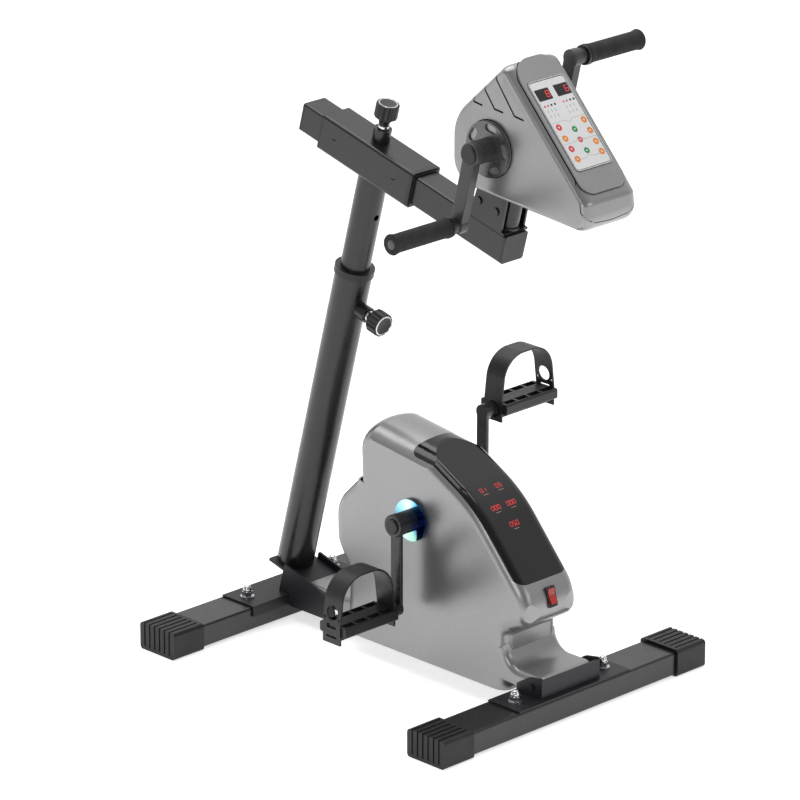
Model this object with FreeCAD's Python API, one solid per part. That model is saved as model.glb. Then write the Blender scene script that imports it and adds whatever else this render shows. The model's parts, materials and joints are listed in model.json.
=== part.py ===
"""Leg and arm pedal trainer.

A floor base of two crossbars and a beam carries a motorised leg crank unit and a leaning mast.
The mast telescopes and carries a square sleeve, in which an arm slides with a motorised hand
crank unit on its front end. Lengths are millimetres and angles are degrees. +X is across, -Y is
the user's side and +Z is up. The model is drawn about the middle of the two crossbars and is
exported with its origin at the bottom centre of the whole object's box.
"""
import FreeCAD
import Part
import os
from math import acos, atan2, cos, degrees, hypot, pi, radians, sin, tan

# Fits and cuts
overrun = 5.0
running_gap = 0.05
slide_gap = 0.08
press_gap = 0.02
seat_gap = 0.3
shell_gap = 0.15
hub_gap = 0.5
edge_use_share = 0.98
edge_overrun = 1.5
arc_pull = 0.5523

# Crossbars and their end caps
base_width = 490.0
bar_spacing = 508.0
bar_depth = 60.0
bar_height = 32.0
bar_corner = 3.0
bar_wall = 2.0
cap_length = 54.0
cap_end = 5.0
cap_sole = 2.5
cap_roof = 4.0
cap_side = 3.75
cap_corner = 5.0
cap_ribs = 7
cap_groove_width = 3.0
cap_groove_depth = 1.2

# Bolts, washers and acorn nuts
bolt_radius = 4.0
bolt_hole_gap = 0.4
front_bolt_offset = 82.0
rear_bolt_offset = 80.0
bolt_head_radius = 8.0
bolt_head_height = 2.0
bolt_rise = 10.0
washer_radius = 9.5
washer_thickness = 1.6
nut_flats = 13.0
nut_hex_height = 6.5
nut_height = 15.0
nut_dome_radius = 6.0

# Front and rear brackets
plate_wall = 2.4
plate_depth = 57.3
front_plate_width = 206.0
rear_plate_width = 199.4
box_width = 108.0
box_wall = 2.5
box_depth = 46.0
box_height = 29.1
box_front_share = 0.9
box_ahead = 21.0
box_side_shares = ((0.0, 0.0, 0.0), (1.0, 0.0, 0.0), (1.0, 0.36, 0.15), (0.52, 0.85, 0.6), (0.0, 1.0, 0.08))
box_screw_radius = 4.5
box_screw_height = 3.0
box_screw_share = 0.42
cheek_gap = 5.5
cheek_wall = 3.0
cheek_height = 41.1
cheek_depth = 108.0
cheek_drop = 16.9
cheek_shares = ((0.9, 1.0, 0.04), (0.33, 0.59, 0.02), (0.12, 0.36, 0.2), (0.04, 0.24, 0.15))
apron_height = 15.0
seat_plate_wall = 4.0
seat_plate_ahead = 53.0
seat_plate_behind = 19.0

# Main beam
beam_width = 50.0
beam_height = 20.0
beam_wall = 2.0
beam_corner = 2.0
beam_front_overlap = 12.0
beam_rear_overlap = 14.0

# Leg unit housing
leg_length = 359.0
leg_height = 309.5
leg_clearance = 28.0
leg_base_height = 24.0
leg_nose_reach = 208.0
leg_half_width = 50.0
leg_wall = 2.5
leg_edge_radius = 16.0
shoulder_depth = 22.0
leg_shares = (
    (0.1056, -0.05, 0.071), (0.9415, -0.05, 0.071), (0.9334, 0.2714, 0.0646), (0.9972, 0.3945, 0.0969),
    (1.0, 0.5719, 0.1454), (0.8886, 0.704, 0.04), (0.8969, 1.0, 0.129), (0.5571, 0.95, 0.129),
    (0.2747, 0.7767, 0.646), (0.0109, 0.4326, 0.194), (0.0, 0.3118, 0.071), (0.1056, 0.2585, 0.032))
crown_arch_height = 30.0
crown_arch_drop = 0.5
nose_arch_depth = 12.0
nose_arch_drop = 0.7
arch_margin = 2.0
toe_length = 110.0
toe_height = 54.8
toe_edge_radius = 10.0
toe_shares = (
    (0.0, 0.0, 0.0), (1.0, 0.0, 0.0), (1.0, 1.0, 0.0), (0.636, 1.0, 0.0), (0.591, 0.45, 0.47),
    (0.0, 0.45, 0.22))
rear_toe_half_width = 29.5
rear_toe_height = 22.8
rear_toe_inside = 16.0
rear_toe_corner = 5.0
rear_toe_gap = 1.0

# Display in the leg unit
lens_half_width = 46.0
lens_wall = 3.0
lens_corner = 16.0
lens_top_share = (0.5905, 0.9548)
lens_bottom_share = (0.0418, 0.4863)
lens_cut_depth = 22.0
lens_cut_height = 40.0
display_place_share = (0.2543, 0.7451)
display_half_width = 30.0
display_half_length = 38.0
board_wall = 1.6
board_corner = 4.0
digit_block_width = 20.0
digit_block_length = 11.0
digit_block_height = 8.0
digit_rows = 3
digit_pitch = 28.5
digit_offset = 13.0

# Rocker switch
switch_place_share = (0.0128, 0.4107)
switch_tilt = 15.0
switch_half_width = 7.0
switch_half_height = 13.0
switch_depth = 18.0
switch_flange = 1.0
switch_flange_wall = 2.0
switch_corner = 2.0
rocker_half_width = 5.6
rocker_half_height = 10.4
rocker_rise = 2.8
rocker_waist = 0.6
rocker_back = 2.5
rocker_pivot_depth = 1.0
rocker_pin_radius = 1.2
rocker_pin_length = 1.0
rocker_well_depth = 10.0
rocker_travel = 16.0

# Power inlet
inlet_share = 0.42
inlet_half_width = 10.0
inlet_half_height = 7.0
inlet_depth = 22.0
inlet_flange = 2.0
inlet_flange_wall = 1.5
inlet_corner = 3.0
socket_half_width = 7.4
socket_half_height = 4.3
socket_depth = 15.0
contact_radius = 1.2
contact_length = 7.0
contact_offset = 4.3

# Leg crank
axle_radius = 8.5
leg_axle_height = 219.8
leg_axle_ahead = 34.0
leg_crank_length = 116.6
leg_hub_radius = 28.5
leg_hub_wall = 2.0
leg_hub_start = 54.0
leg_arm_start = 77.5
leg_arm_wall = 10.5
leg_bar_wall = 5.2
leg_arm_head_radius = 15.5
leg_arm_end_radius = 10.5
leg_arm_half_width = 9.1
leg_boss_radius = 15.0
leg_cap_radius = 10.4
crank_cap_wall = 3.0
crank_edge_radius = 1.5
axle_recess = 2.0
shaft_window_gap = 1.5

# Bearings, brackets and drive of the leg unit
bearing_radius = 17.5
bearing_width = 10.0
bearing_groove_depth = 1.0
bearing_groove_start = 2.5
bearing_groove_end = 5.5
cup_wall = 3.5
leg_bracket_start = 18.5
leg_bracket_wall = 3.0
leg_bracket_foot = 60.0
leg_bracket_top = 40.0
leg_motor_share = (0.8131, 0.3945)
leg_motor_radius = 31.0
leg_motor_length = 58.5
leg_motor_plate_radius = 26.0
motor_shaft_radius = 4.0
motor_shaft_depth = 14.0
motor_vent_count = 8
motor_vent_radius = 2.5
motor_vent_depth = 3.0
leg_pulley_radius = 65.0
leg_motor_pulley_radius = 15.0
leg_pulley_start = 26.0
leg_pulley_width = 12.0
pulley_rim = 8.0
pulley_web = 4.0
pulley_hub_radius = 14.0
pulley_window_count = 5
belt_wall = 2.0
belt_inset = 1.0
control_board_length = 62.0
control_board_height = 74.0
control_board_standoff = 6.0
control_board_base = 96.0
standoff_radius = 3.0
standoff_inset = 6.0
chip_width = 22.0
chip_height = 18.0
chip_rise = 10.0

# Pedals and their straps
spindle_radius = 6.0
spindle_thread_radius = 7.0
spindle_collar_radius = 9.0
spindle_collar_length = 5.0
pedal_start = 100.5
pedal_length = 96.2
pedal_half_depth = 24.0
pedal_top = 9.5
pedal_rail_drop = 5.0
pedal_bottom = 12.5
pedal_keel_half_width = 10.0
pedal_flare_half_width = 14.0
pedal_corner = 3.0
pedal_end_wall = 4.0
pedal_rail = 4.0
pedal_window_count = 4
pedal_window_gap = 4.0
pedal_hub_radius = 11.0
pedal_hub_length = 7.0
pedal_hub_sides = 8
spindle_recess = 4.0
strap_width = 32.0
strap_wall = 2.5
strap_top = 74.5
strap_drop = 16.0
strap_lean = 8.0
strap_bend_radius = 38.0

# Mast
mast_lean = 14.8
mast_foot_before_bar = 10.5
mast_foot_height = 72.0
mast_radius = 25.0
mast_wall = 2.0
mast_length = 461.0
collar_radius = 27.0
collar_height = 10.0
collar_cap = 3.0
bushing_length = 36.0
upper_tube_radius = 20.0
upper_tube_wall = 2.0
upper_tube_start = 255.0
glide_length = 10.0
hole_pitch = 138.0
pin_hole_gap = 0.3
knob_height = 409.0

# Pull knobs
pin_radius = 4.0
mast_boss_radius = 11.0
mast_boss_end = 40.0
reach_boss_radius = 12.0
reach_boss_height = 18.0
knob_ring_radius = 8.0
knob_ring_length = 5.0
knob_neck_radius = 6.0
knob_neck_length = 6.0
mast_knob_length = 19.0
mast_knob_radius = 16.5
reach_knob_length = 26.0
reach_knob_radius = 15.5
knob_flutes = 12
knob_flute_radius = 2.0
knob_edge_radius = 1.5

# Sleeve and arm
sleeve_size = 50.0
sleeve_wall = 2.5
sleeve_length = 164.0
sleeve_corner = 4.0
sleeve_above_hole = 81.8
sleeve_bushing_insert = 20.0
sleeve_front_flange = 6.0
sleeve_rear_flange = 3.0
sleeve_lip = 2.0
arm_size = 40.0
arm_wall = 2.0
arm_corner = 3.0
arm_front = 258.5
arm_rear = 126.5
arm_cap_wall = 4.0
arm_plug_length = 15.0
reach_pitch = 25.0
reach_steps = 3

# Head bracket and post
hand_axle_reach = 223.5
hand_axle_rise = 118.4
head_bracket_start = 19.0
head_bracket_wall = 3.0
head_bracket_ahead = 26.0
head_bracket_behind = 32.0
head_bracket_top = 44.0
head_base_ahead = 31.0
head_screw_radius = 5.5
head_screw_height = 2.0
head_screw_drop = 93.0
head_screw_ahead = 10.0
head_screw_behind = 21.5
head_post_radius = 13.0
head_post_ahead = 17.0
head_post_ring_radius = 15.0
head_post_ring_height = 3.0

# Hand unit housing
head_length = 260.4
head_height = 193.8
head_nose_reach = 185.0
head_drop = 74.8
head_half_width = 47.0
head_wall = 2.5
head_edge_across = 16.0
head_edge_depth = 9.0
head_shares = (
    (0.9136, 0.0, 0.196), (1.0, 0.439, 0.31), (0.7369, 1.0, 0.062), (0.0568, 0.4195, 0.062),
    (0.0, 0.2157, 0.103))
cover_depth = 12.0
cover_seam_share = 0.169
cover_step_shares = ((0.144, 0.308), (0.075, 0.258))
hub_boss_radius = 36.0
hub_boss_reach = 3.5
hub_boss_root = 10.0
lid_width = 78.0
lid_length = 198.0
lid_stand = 2.0
lid_recess = 1.2
lid_top_corner = 30.0
lid_bottom_corner = 18.0
lid_centre_share = 0.522
key_panel_width = 61.0
key_panel_length = 127.0
key_panel_wall = 0.6
key_panel_corner = 4.0
upper_board_half_width = 28.0
upper_board_half_length = 55.0
upper_board_drop = 6.0

# Hand crank
hand_crank_length = 101.4
hand_crank_turn = -1.1
hand_hub_radius = 37.0
hand_hub_wall = 2.0
hand_hub_openings = 5
hand_hub_opening_radius = 5.0
hand_hub_opening_place = 29.0
hand_hub_opening_length = 10.0
hand_hub_opening_turn = 16.0
hand_arm_start = 72.0
hand_arm_wall = 13.0
hand_arm_head_radius = 15.0
hand_arm_end_radius = 12.0
hand_arm_half_width = 10.0
hand_boss_radius = 15.5
hand_cap_radius = 12.5
hand_collar_radius = 10.0
hand_collar_length = 10.0
grip_flange_radius = 13.5
grip_flange_wall = 4.0
grip_radius = 12.5
grip_end_radius = 14.0
grip_flare_length = 8.0
grip_length = 100.0

# Drive of the hand unit
hand_motor_ahead = 80.0
hand_motor_drop = 22.1
hand_motor_radius = 23.0
hand_motor_length = 54.0
hand_motor_plate_radius = 20.0
hand_pulley_radius = 40.0
hand_motor_pulley_radius = 10.0
hand_pulley_start = 24.0
hand_pulley_width = 10.0

# Heights and places that follow from the sizes
bar_top = cap_sole + bar_height
plate_top = bar_top + plate_wall
front_bar = -bar_spacing / 2
rear_bar = bar_spacing / 2
beam_top = plate_top + beam_height
mast_foot_behind = rear_bar - mast_foot_before_bar
sleeve_centre_height = knob_height + hole_pitch + sleeve_above_hole
leg_axle = (-leg_axle_ahead, leg_axle_height)
leg_front = -leg_axle_ahead - leg_nose_reach
leg_motor = (leg_front + leg_motor_share[0] * leg_length, leg_clearance + leg_motor_share[1] * leg_height)
arm_top = sleeve_centre_height + arm_size / 2
hand_axle_local = (-hand_axle_reach, arm_top + hand_axle_rise)
leg_arm_end = leg_arm_start + leg_arm_wall
hand_arm_end = hand_arm_start + hand_arm_wall
hand_hub_start = head_half_width + hub_boss_reach + hub_gap
NODES = {}


def point(x, y, z):
    """A point or direction."""
    return FreeCAD.Vector(x, y, z)


def at(axis, u, v, w):
    """The point u, v in the plane square to an axis, w along that axis."""
    if axis == "x":
        return point(w, u, v)
    if axis == "y":
        return point(u, w, v)
    return point(u, v, w)


def block(x0, x1, y0, y1, z0, z1):
    """Box between two corners."""
    return Part.makeBox(x1 - x0, y1 - y0, z1 - z0, point(x0, y0, z0))


def rod(axis, radius, start, end, u=0, v=0):
    """Round bar along an axis."""
    return Part.makeCylinder(radius, end - start, at(axis, u, v, start), at(axis, 0, 0, 1))


def pipe(axis, outer, inner, start, end, u=0, v=0):
    """Round tube along an axis."""
    bore = rod(axis, inner, start - overrun, end + overrun, u, v)
    return rod(axis, outer, start, end, u, v).cut(bore)


def taper(axis, radius_start, radius_end, start, end, u=0, v=0):
    """Cone between two radii along an axis."""
    return Part.makeCone(radius_start, radius_end, end - start, at(axis, u, v, start), at(axis, 0, 0, 1))


def fuse(first, *others):
    """One solid from several that touch or overlap."""
    return first.multiFuse(list(others)).removeSplitter() if others else first


def cut(shape, *tools):
    """A shape less some others."""
    return shape.cut(list(tools))


def mirrored(shape):
    """The same piece on the other side of the middle plane."""
    return shape.mirror(point(0, 0, 0), point(1, 0, 0))


def both_sides(shape):
    """A piece and its mirror image."""
    return [shape, mirrored(shape)]


def moved(shape, y, z, tilt=0, x=0):
    """A copy turned about the X axis and then moved."""
    copy = shape.copy()
    copy.rotate(point(0, 0, 0), point(1, 0, 0), tilt)
    copy.translate(point(x, y, z))
    return copy


def turned(y, z, angle):
    """A place in the side view, turned about the origin."""
    c = cos(radians(angle))
    s = sin(radians(angle))
    return y * c - z * s, y * s + z * c


def rounded_wire(corners, axis, w):
    """Closed outline of lines and tangent arcs through (u, v, radius) corners."""
    count = len(corners)
    headings = []
    lengths = []
    for i in range(count):
        du = corners[(i + 1) % count][0] - corners[i][0]
        dv = corners[(i + 1) % count][1] - corners[i][1]
        headings.append(atan2(dv, du))
        lengths.append(hypot(du, dv))
    turns = [(headings[i] - headings[i - 1] + pi) % (2 * pi) - pi for i in range(count)]
    reaches = [corners[i][2] * abs(tan(turns[i] / 2)) for i in range(count)]
    for i in range(count):
        j = (i + 1) % count
        wanted = reaches[i] + reaches[j]
        room = lengths[i] * edge_use_share
        if wanted > room:
            reaches[i] *= room / wanted
            reaches[j] *= room / wanted
    edges = []
    starts = []
    ends = []
    middles = []
    for i in range(count):
        u, v = corners[i][0], corners[i][1]
        back = headings[i - 1]
        ahead = headings[i]
        starts.append((u - cos(back) * reaches[i], v - sin(back) * reaches[i]))
        ends.append((u + cos(ahead) * reaches[i], v + sin(ahead) * reaches[i]))
        if reaches[i] > 0:
            radius = reaches[i] / abs(tan(turns[i] / 2))
            sagitta = radius * (1 / cos(turns[i] / 2) - 1)
            du = cos(ahead) - cos(back)
            dv = sin(ahead) - sin(back)
            size = hypot(du, dv)
            middles.append((u + du / size * sagitta, v + dv / size * sagitta))
        else:
            middles.append(None)
    for i in range(count):
        j = (i + 1) % count
        if middles[i]:
            arc = [at(axis, *starts[i], w), at(axis, *middles[i], w), at(axis, *ends[i], w)]
            edges.append(Part.Arc(*arc).toShape())
        edges.append(Part.LineSegment(at(axis, *ends[i], w), at(axis, *starts[j], w)).toShape())
    return Part.Wire(edges)


def prism(corners, axis, start, end):
    """Solid of a rounded outline between two places along an axis."""
    return Part.Face(rounded_wire(corners, axis, start)).extrude(at(axis, 0, 0, end - start))


def rectangle(u0, u1, v0, v1, radius=0):
    """Corners of an upright rectangle with one radius."""
    return [(u0, v0, radius), (u1, v0, radius), (u1, v1, radius), (u0, v1, radius)]


def centred(half_u, half_v, radius=0, u=0, v=0):
    """Corners of a rectangle about a centre."""
    return rectangle(u - half_u, u + half_u, v - half_v, v + half_v, radius)


def regular(sides, radius, u=0, v=0):
    """Corners of a regular polygon with a flat side at each quarter turn."""
    step = 2 * pi / sides
    angles = [step * (i + 0.5) for i in range(sides)]
    return [(u + radius * cos(angle), v + radius * sin(angle), 0) for angle in angles]


def inset(corners, depth):
    """A counter-clockwise outline moved inward, with its arcs kept parallel."""
    count = len(corners)
    result = []
    for i in range(count):
        u, v, radius = corners[i]
        back = atan2(v - corners[i - 1][1], u - corners[i - 1][0])
        ahead = atan2(corners[(i + 1) % count][1] - v, corners[(i + 1) % count][0] - u)
        turn = (ahead - back + pi) % (2 * pi) - pi
        lean = 1 + cos(turn)
        du = -(sin(back) + sin(ahead)) * depth / lean
        dv = (cos(back) + cos(ahead)) * depth / lean
        result.append((u + du, v + dv, max(radius - depth, 0) if turn > 0 else radius + depth))
    return result


def scaled(shares, length, height, u, v):
    """Corners from shares of a length and a height, with radii as shares of the height."""
    return [(u + a * length, v + b * height, c * height) for a, b, c in shares]


def round_face_at(shape, x, radius):
    """Round every edge that lies in the plane square to X at x."""
    edges = [edge for edge in shape.Edges
             if abs(edge.BoundBox.XMin - x) < seat_gap and abs(edge.BoundBox.XMax - x) < seat_gap]
    return shape.makeFillet(radius, edges)


def side_rounding(corners, face, across, inward):
    """Swept tool that rounds the rim of an outline's side face, further across than inward."""
    spine = rounded_wire(corners, "x", face)
    side = [edge for edge in spine.Edges if edge.Curve.TypeId == "Part::GeomLine"][0]
    rim = side.Vertexes[0].Point
    along = side.tangentAt(side.FirstParameter)
    depth = point(0, -along.z, along.y)
    out = point(1, 0, 0)
    low = rim + depth * inward
    far = rim - out * across
    curve = Part.BezierCurve()
    curve.setPoles([low, low - depth * inward * arc_pull, far + out * across * arc_pull, far])
    above = far - depth * edge_overrun
    corner = rim + out * edge_overrun - depth * edge_overrun
    beside = low + out * edge_overrun
    edges = [curve.toShape()]
    for first, second in ((far, above), (above, corner), (corner, beside), (beside, low)):
        edges.append(Part.LineSegment(first, second).toShape())
    return spine.makePipeShell([Part.Wire(edges)], True, False)


def rounded_block(corners, half_width, across, inward):
    """Solid of an outline across the middle plane, with the rims of both side faces rounded."""
    tool = side_rounding(corners, half_width, across, inward)
    return cut(prism(corners, "x", -half_width, half_width), tool, mirrored(tool))


def arch(half_width, height, length):
    """Long block along Y that ends above in half an ellipse, with its crown at the origin."""
    middle = point(0, -length, -height)
    right = middle + point(half_width, 0, 0)
    left = middle - point(half_width, 0, 0)
    crown = Part.Ellipse(right, middle + point(0, 0, height), middle).toShape(0, pi)
    down = point(0, 0, -length)
    edges = [crown]
    for first, second in ((left, left + down), (left + down, right + down), (right + down, right)):
        edges.append(Part.LineSegment(first, second).toShape())
    return Part.Face(Part.Wire(edges)).extrude(point(0, 2 * length, 0))


def link(axis, start, end, place_a, radius_a, place_b, radius_b):
    """Solid round two circles and the straight sides that touch both."""
    du = place_b[0] - place_a[0]
    dv = place_b[1] - place_a[1]
    heading = atan2(dv, du)
    spread = acos((radius_a - radius_b) / hypot(du, dv))

    def on(place, radius, angle):
        return at(axis, place[0] + radius * cos(angle), place[1] + radius * sin(angle), start)

    a_left = on(place_a, radius_a, heading + spread)
    a_right = on(place_a, radius_a, heading - spread)
    b_left = on(place_b, radius_b, heading + spread)
    b_right = on(place_b, radius_b, heading - spread)
    edges = [
        Part.LineSegment(a_right, b_right).toShape(),
        Part.Arc(b_right, on(place_b, radius_b, heading), b_left).toShape(),
        Part.LineSegment(b_left, a_left).toShape(),
        Part.Arc(a_left, on(place_a, radius_a, heading + pi), a_right).toShape()]
    return Part.Face(Part.Wire(edges)).extrude(at(axis, 0, 0, end - start))


def box_tube(axis, half_u, half_v, corner, wall, start, end, u=0, v=0):
    """Square or flat tube with rounded corners."""
    outside = centred(half_u, half_v, corner, u, v)
    bore = prism(inset(outside, wall), axis, start - overrun, end + overrun)
    return prism(outside, axis, start, end).cut(bore)


def add(name, *solids):
    """Keep a node, drawn about the middle of the base."""
    NODES[name] = list(solids)


def on_mast(shape):
    """Move a piece from the mast's own frame, with its axis along Z, to its leaning place."""
    return moved(shape, mast_foot_behind, mast_foot_height, mast_lean)


def add_on_mast(name, *solids):
    """Keep a node drawn in the mast's frame."""
    add(name, *[on_mast(solid) for solid in solids])


def add_on_head(name, *solids):
    """Keep a node drawn about the hand crank's axle."""
    add_on_mast(name, *[moved(solid, *hand_axle_local) for solid in solids])


def crossbar(centre, bolt_offset):
    """Flat tube across the base, drilled for two bolts."""
    half_length = base_width / 2 - cap_end
    middle = cap_sole + bar_height / 2
    tube = box_tube("x", bar_depth / 2, bar_height / 2, bar_corner, bar_wall, -half_length, half_length,
                    centre, middle)
    hole_radius = bolt_radius + bolt_hole_gap
    holes = [rod("z", hole_radius, 0, plate_top, x, centre) for x in (-bolt_offset, bolt_offset)]
    return cut(tube, *holes)


def end_cap(centre):
    """Ribbed rubber cap over one end of a crossbar."""
    half_depth = bar_depth / 2 + cap_side
    top = bar_top + cap_roof
    outer_end = base_width / 2
    inner_end = outer_end - cap_length
    shell = prism(rectangle(centre - half_depth, centre + half_depth, 0, top, cap_corner),
                  "x", inner_end, outer_end)
    pocket = block(inner_end - overrun, outer_end - cap_end, centre - bar_depth / 2 - shell_gap,
                   centre + bar_depth / 2 + shell_gap, cap_sole, bar_top + shell_gap)
    pitch = 2 * half_depth / cap_ribs
    grooves = []
    for i in range(1, cap_ribs):
        middle = centre - half_depth + i * pitch
        left = middle - cap_groove_width / 2
        right = middle + cap_groove_width / 2
        grooves.append(block(inner_end + cap_end, outer_end + overrun, left, right,
                             top - cap_groove_depth, top + overrun))
        grooves.append(block(outer_end - cap_groove_depth, outer_end + overrun, left, right,
                             cap_corner, top + overrun))
    return cut(shell, pocket, *grooves)


def acorn_nut(x, y):
    """Hexagon nut with a closed dome, tapped from below."""
    base = plate_top + washer_thickness
    hexagon = prism(regular(6, nut_flats / 2 / cos(pi / 6), x, y), "z", base, base + nut_hex_height)
    dome_centre = base + nut_height - nut_dome_radius
    neck = rod("z", nut_dome_radius, base, dome_centre, x, y)
    dome = Part.makeSphere(nut_dome_radius, point(x, y, dome_centre))
    thread = rod("z", bolt_radius + press_gap, base - overrun, plate_top + bolt_rise + press_gap, x, y)
    return fuse(hexagon, neck, dome).cut(thread)


def front_bracket():
    """Plate on the front crossbar with a low box that holds the housing's toe."""
    half_width = box_width / 2
    front = front_bar - box_ahead
    plate = block(-front_plate_width / 2, front_plate_width / 2, front_bar - plate_depth / 2,
                  front_bar + plate_depth / 2, bar_top, plate_top)
    outline = scaled(box_side_shares, box_depth, box_height, front, plate_top)
    side = prism(outline, "x", half_width - box_wall, half_width)
    face = block(-half_width, half_width, front, front + box_wall, plate_top,
                 plate_top + box_height * box_front_share)
    screw = rod("x", box_screw_radius, half_width, half_width + box_screw_height,
                front + box_depth * box_screw_share, plate_top + box_height * box_screw_share)
    return fuse(plate, side, mirrored(side), face, screw, mirrored(screw))


def seat_block():
    """Sloping plate under the mast, square to it."""
    half_width = beam_width / 2 + cheek_gap
    run = 1 / cos(radians(mast_lean))
    plate = block(-half_width, half_width, -seat_plate_ahead * run, seat_plate_behind * run,
                  -seat_plate_wall, 0)
    return moved(plate, mast_foot_behind, mast_foot_height, mast_lean)


def rear_bracket():
    """Saddle on the rear crossbar with two cheeks and a sloping seat for the mast."""
    front_face = rear_bar - bar_depth / 2 - seat_gap
    saddle = block(-rear_plate_width / 2, rear_plate_width / 2, front_face - plate_wall,
                   rear_bar + plate_depth / 2, bar_top, plate_top)
    apron = block(-rear_plate_width / 2, rear_plate_width / 2, front_face - plate_wall, front_face,
                  plate_top - apron_height, plate_top)
    inner = beam_width / 2 + cheek_gap
    front = front_face - plate_wall - cheek_depth + mast_foot_behind - rear_bar + bar_depth / 2
    bottom = plate_top - cheek_drop
    length = cheek_depth
    corners = [(front, bottom + cheek_drop / 2, cheek_drop / 3),
               (front + cheek_drop / 4, bottom, cheek_drop / 4),
               (front_face - plate_wall, bottom, 0), (front_face - plate_wall, plate_top, 0),
               (front + length, plate_top, 0)]
    corners += scaled(cheek_shares, length, cheek_height, front, plate_top)
    cheek = prism(corners, "x", inner, inner + cheek_wall)
    return fuse(saddle, apron, cheek, mirrored(cheek), seat_block())


def main_beam():
    """Flat tube that ties the two crossbars, cut back under the sloping seat."""
    beam = box_tube("y", beam_width / 2, beam_height / 2, beam_corner, beam_wall,
                    front_bar - beam_front_overlap, rear_bar - beam_rear_overlap, 0,
                    plate_top + beam_height / 2)
    return beam.cut(seat_block())


def build_base():
    """Crossbars, caps, brackets, beam and fasteners."""
    add("front_crossbar", crossbar(front_bar, front_bolt_offset))
    add("rear_crossbar", crossbar(rear_bar, rear_bolt_offset))
    add("crossbar_end_caps", *both_sides(end_cap(front_bar)), *both_sides(end_cap(rear_bar)))
    places = [(x * front_bolt_offset, front_bar) for x in (-1, 1)]
    places += [(x * rear_bolt_offset, rear_bar) for x in (-1, 1)]
    holes = [rod("z", bolt_radius + bolt_hole_gap, 0, plate_top + overrun, x, y) for x, y in places]
    add("front_bracket", cut(front_bracket(), *holes))
    add("rear_bracket", cut(rear_bracket(), *holes))
    add("main_beam", main_beam())
    bolt = fuse(rod("z", bolt_head_radius, cap_sole - bolt_head_height, cap_sole),
                rod("z", bolt_radius, cap_sole, plate_top + bolt_rise))
    bolts = [moved(bolt, y, 0, 0, x) for x, y in places]
    washers = [pipe("z", washer_radius, bolt_radius + bolt_hole_gap, plate_top,
                    plate_top + washer_thickness, x, y) for x, y in places]
    add("base_bolts_and_washers", *bolts, *washers)
    add("base_acorn_nuts", *[acorn_nut(x, y) for x, y in places])


def leg_outline():
    """Side outline of the leg unit's housing."""
    return scaled(leg_shares, leg_length, leg_height, leg_front, leg_clearance)


def leg_body(depth):
    """Rounded solid of the leg unit's housing, with every face moved inward by a depth."""
    outline = leg_outline()
    corners = inset(outline, depth)
    half_width = leg_half_width - depth
    rounding = leg_edge_radius - depth
    body = rounded_block(corners, half_width, rounding, rounding)
    notch, rear, front = outline[5], outline[6], outline[7]
    end = leg_front + leg_length + overrun
    shoulder = side_rounding(corners, half_width, half_width, shoulder_depth - depth)
    shoulder = shoulder.common(block(0, leg_half_width + overrun, front[0], end, notch[1], rear[1] + overrun))
    under = block(-leg_half_width - overrun, leg_half_width + overrun, leg_front - overrun, end, 0,
                  leg_base_height + depth)
    body = cut(body, shoulder, mirrored(shoulder), under)
    slope = degrees(atan2(rear[1] - front[1], rear[0] - front[0]))
    crown = arch(half_width + arch_margin, crown_arch_height - depth, leg_length)
    nose = arch(half_width + arch_margin, nose_arch_depth, leg_length)
    crown = moved(crown, front[0], front[1] - crown_arch_drop - depth, slope)
    nose = moved(nose, leg_front + nose_arch_drop + depth, front[1], 90)
    return body.common(crown).common(nose)


def leg_place(shares):
    """A place in the side view given as shares of the housing."""
    return leg_front + shares[0] * leg_length, leg_clearance + shares[1] * leg_height


def lens_frame():
    """Middle, length and slope of the display lens."""
    top = leg_place(lens_top_share)
    bottom = leg_place(lens_bottom_share)
    length = hypot(top[0] - bottom[0], top[1] - bottom[1])
    slope = degrees(atan2(top[1] - bottom[1], top[0] - bottom[0]))
    return (top[0] + bottom[0]) / 2, (top[1] + bottom[1]) / 2, length, slope


def lens_window(gap):
    """Rounded prism through the crest of the housing, less a gap all round."""
    y, z, length, slope = lens_frame()
    window = prism(centred(lens_half_width - gap, length / 2 - gap, lens_corner - gap), "z",
                   -lens_cut_depth, lens_cut_height)
    return moved(window, y, z, slope)


def switch_place():
    """Where the rocker switch comes through the nose."""
    return leg_place(switch_place_share)


def inlet_frame():
    """Place and slope of the power inlet on the rear lobe."""
    low = leg_outline()[3]
    high = leg_outline()[4]
    y = low[0] + (high[0] - low[0]) * inlet_share
    z = low[1] + (high[1] - low[1]) * inlet_share
    return y, z, -degrees(atan2(high[0] - low[0], high[1] - low[1]))


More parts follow.
